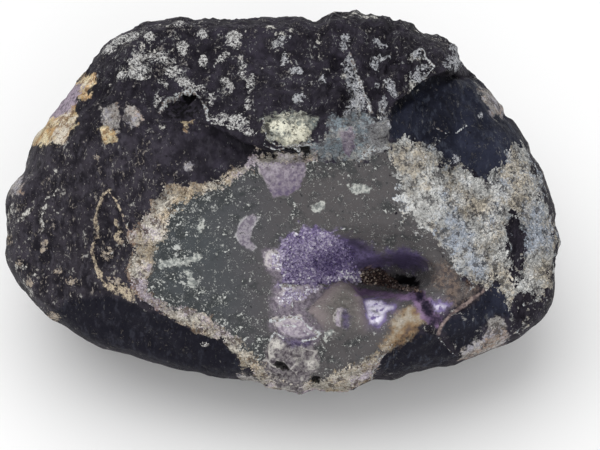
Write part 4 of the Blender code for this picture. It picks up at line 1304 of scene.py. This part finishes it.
class GEODE_OT_stone(bpy.types.Operator):
    """Model the stone with its skin, rind, agate and pocket"""

    bl_idname = "geode.stone"
    bl_label = "Model Stone"

    def execute(self, context):
        made = build_stone(context.scene.geode)
        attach(made, ORIGIN)
        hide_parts("stone")
        return {"FINISHED"}


class GEODE_OT_grains(bpy.types.Operator):
    """Scatter the bare quartz grains over the grainy face and the rind"""

    bl_idname = "geode.grains"
    bl_label = "Scatter Quartz Grains"

    def execute(self, context):
        made = scatter_grains(bpy.data.objects["geode_stone"], context.scene.geode)
        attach(made, ORIGIN)
        return {"FINISHED"}


class GEODE_OT_druse(bpy.types.Operator):
    """Grow the purple druse in the pocket"""

    bl_idname = "geode.druse"
    bl_label = "Grow Druse"

    def execute(self, context):
        made = grow_druse(bpy.data.objects["geode_stone"], context.scene.geode)
        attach(made, ORIGIN)
        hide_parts("crystal_crust")
        return {"FINISHED"}


class GEODE_OT_stage(bpy.types.Operator):
    """Add the floor, the soft lights and the camera"""

    bl_idname = "geode.stage"
    bl_label = "Set Stage"

    def execute(self, context):
        scene, look = context.scene, context.scene.geode
        bm = bmesh.new()
        bmesh.ops.create_grid(bm, x_segments=8, y_segments=8, size=FLOOR_REACH)
        floor = add_piece("floor", bm, floor_material(look))

        for name, place, size, power in (
                ("overhead_light", (-0.3, 0.3, 1.0), 1.6, look.key_power),
                ("front_light", (0.2, -1.1, 0.6), 1.0, look.fill_power)):
            light = bpy.data.lights.new(name, "AREA")
            light.shape = "DISK"
            light.size = size
            light.energy = power
            lamp = add_object(name, light)
            lamp.location = place
            lamp.rotation_euler = (LIGHT_AIM - Vector(place)).to_track_quat("-Z", "Y").to_euler()

        scene.world = bpy.data.worlds.new("studio")
        scene.world.use_nodes = True
        sky = scene.world.node_tree.nodes["Background"].inputs
        sky["Color"].default_value = (1, 1, 1, 1)
        sky["Strength"].default_value = look.sky_strength

        camera = bpy.data.cameras.new("camera")
        camera.sensor_width = SENSOR_WIDTH
        camera.lens = SENSOR_WIDTH * VIEW_DISTANCE / (IMAGE_WIDTH * PX)
        camera.shift_x = (IMAGE_WIDTH / 2 - CENTRE_PX[0]) / IMAGE_WIDTH
        camera.shift_y = (CENTRE_PX[1] - IMAGE_HEIGHT / 2) / IMAGE_WIDTH
        camera.clip_start = CLIP_START
        scene.camera = add_object("camera", camera)
        scene.camera.location = eye_point()
        scene.camera.rotation_euler = (math.pi / 2 - FACE_ANGLE, 0, 0)
        scene.view_settings.view_transform = "Standard"
        return {"FINISHED"}


class GEODE_PT_panel(bpy.types.Panel):
    """Sizes, colours and steps of the geode"""

    bl_label = "Geode"
    bl_space_type = "VIEW_3D"
    bl_region_type = "UI"
    bl_category = "Geode"

    def draw(self, context):
        look = context.scene.geode
        for name in GeodeLook.__annotations__:
            self.layout.prop(look, name)
        for step in STEPS:
            self.layout.operator(step.bl_idname)


STEPS = (GEODE_OT_stone, GEODE_OT_grains, GEODE_OT_druse, GEODE_OT_stage)
CLASSES = (GeodeLook, *STEPS, GEODE_PT_panel)


def register():
    for one in CLASSES:
        bpy.utils.register_class(one)
    bpy.types.Scene.geode = PointerProperty(type=GeodeLook)


def unregister():
    del bpy.types.Scene.geode
    for one in reversed(CLASSES):
        bpy.utils.unregister_class(one)


def main():
    register()
    bpy.ops.geode.stone()
    bpy.ops.geode.grains()
    bpy.ops.geode.druse()
    bpy.ops.geode.stage()


if __name__ == "__main__":
    main()
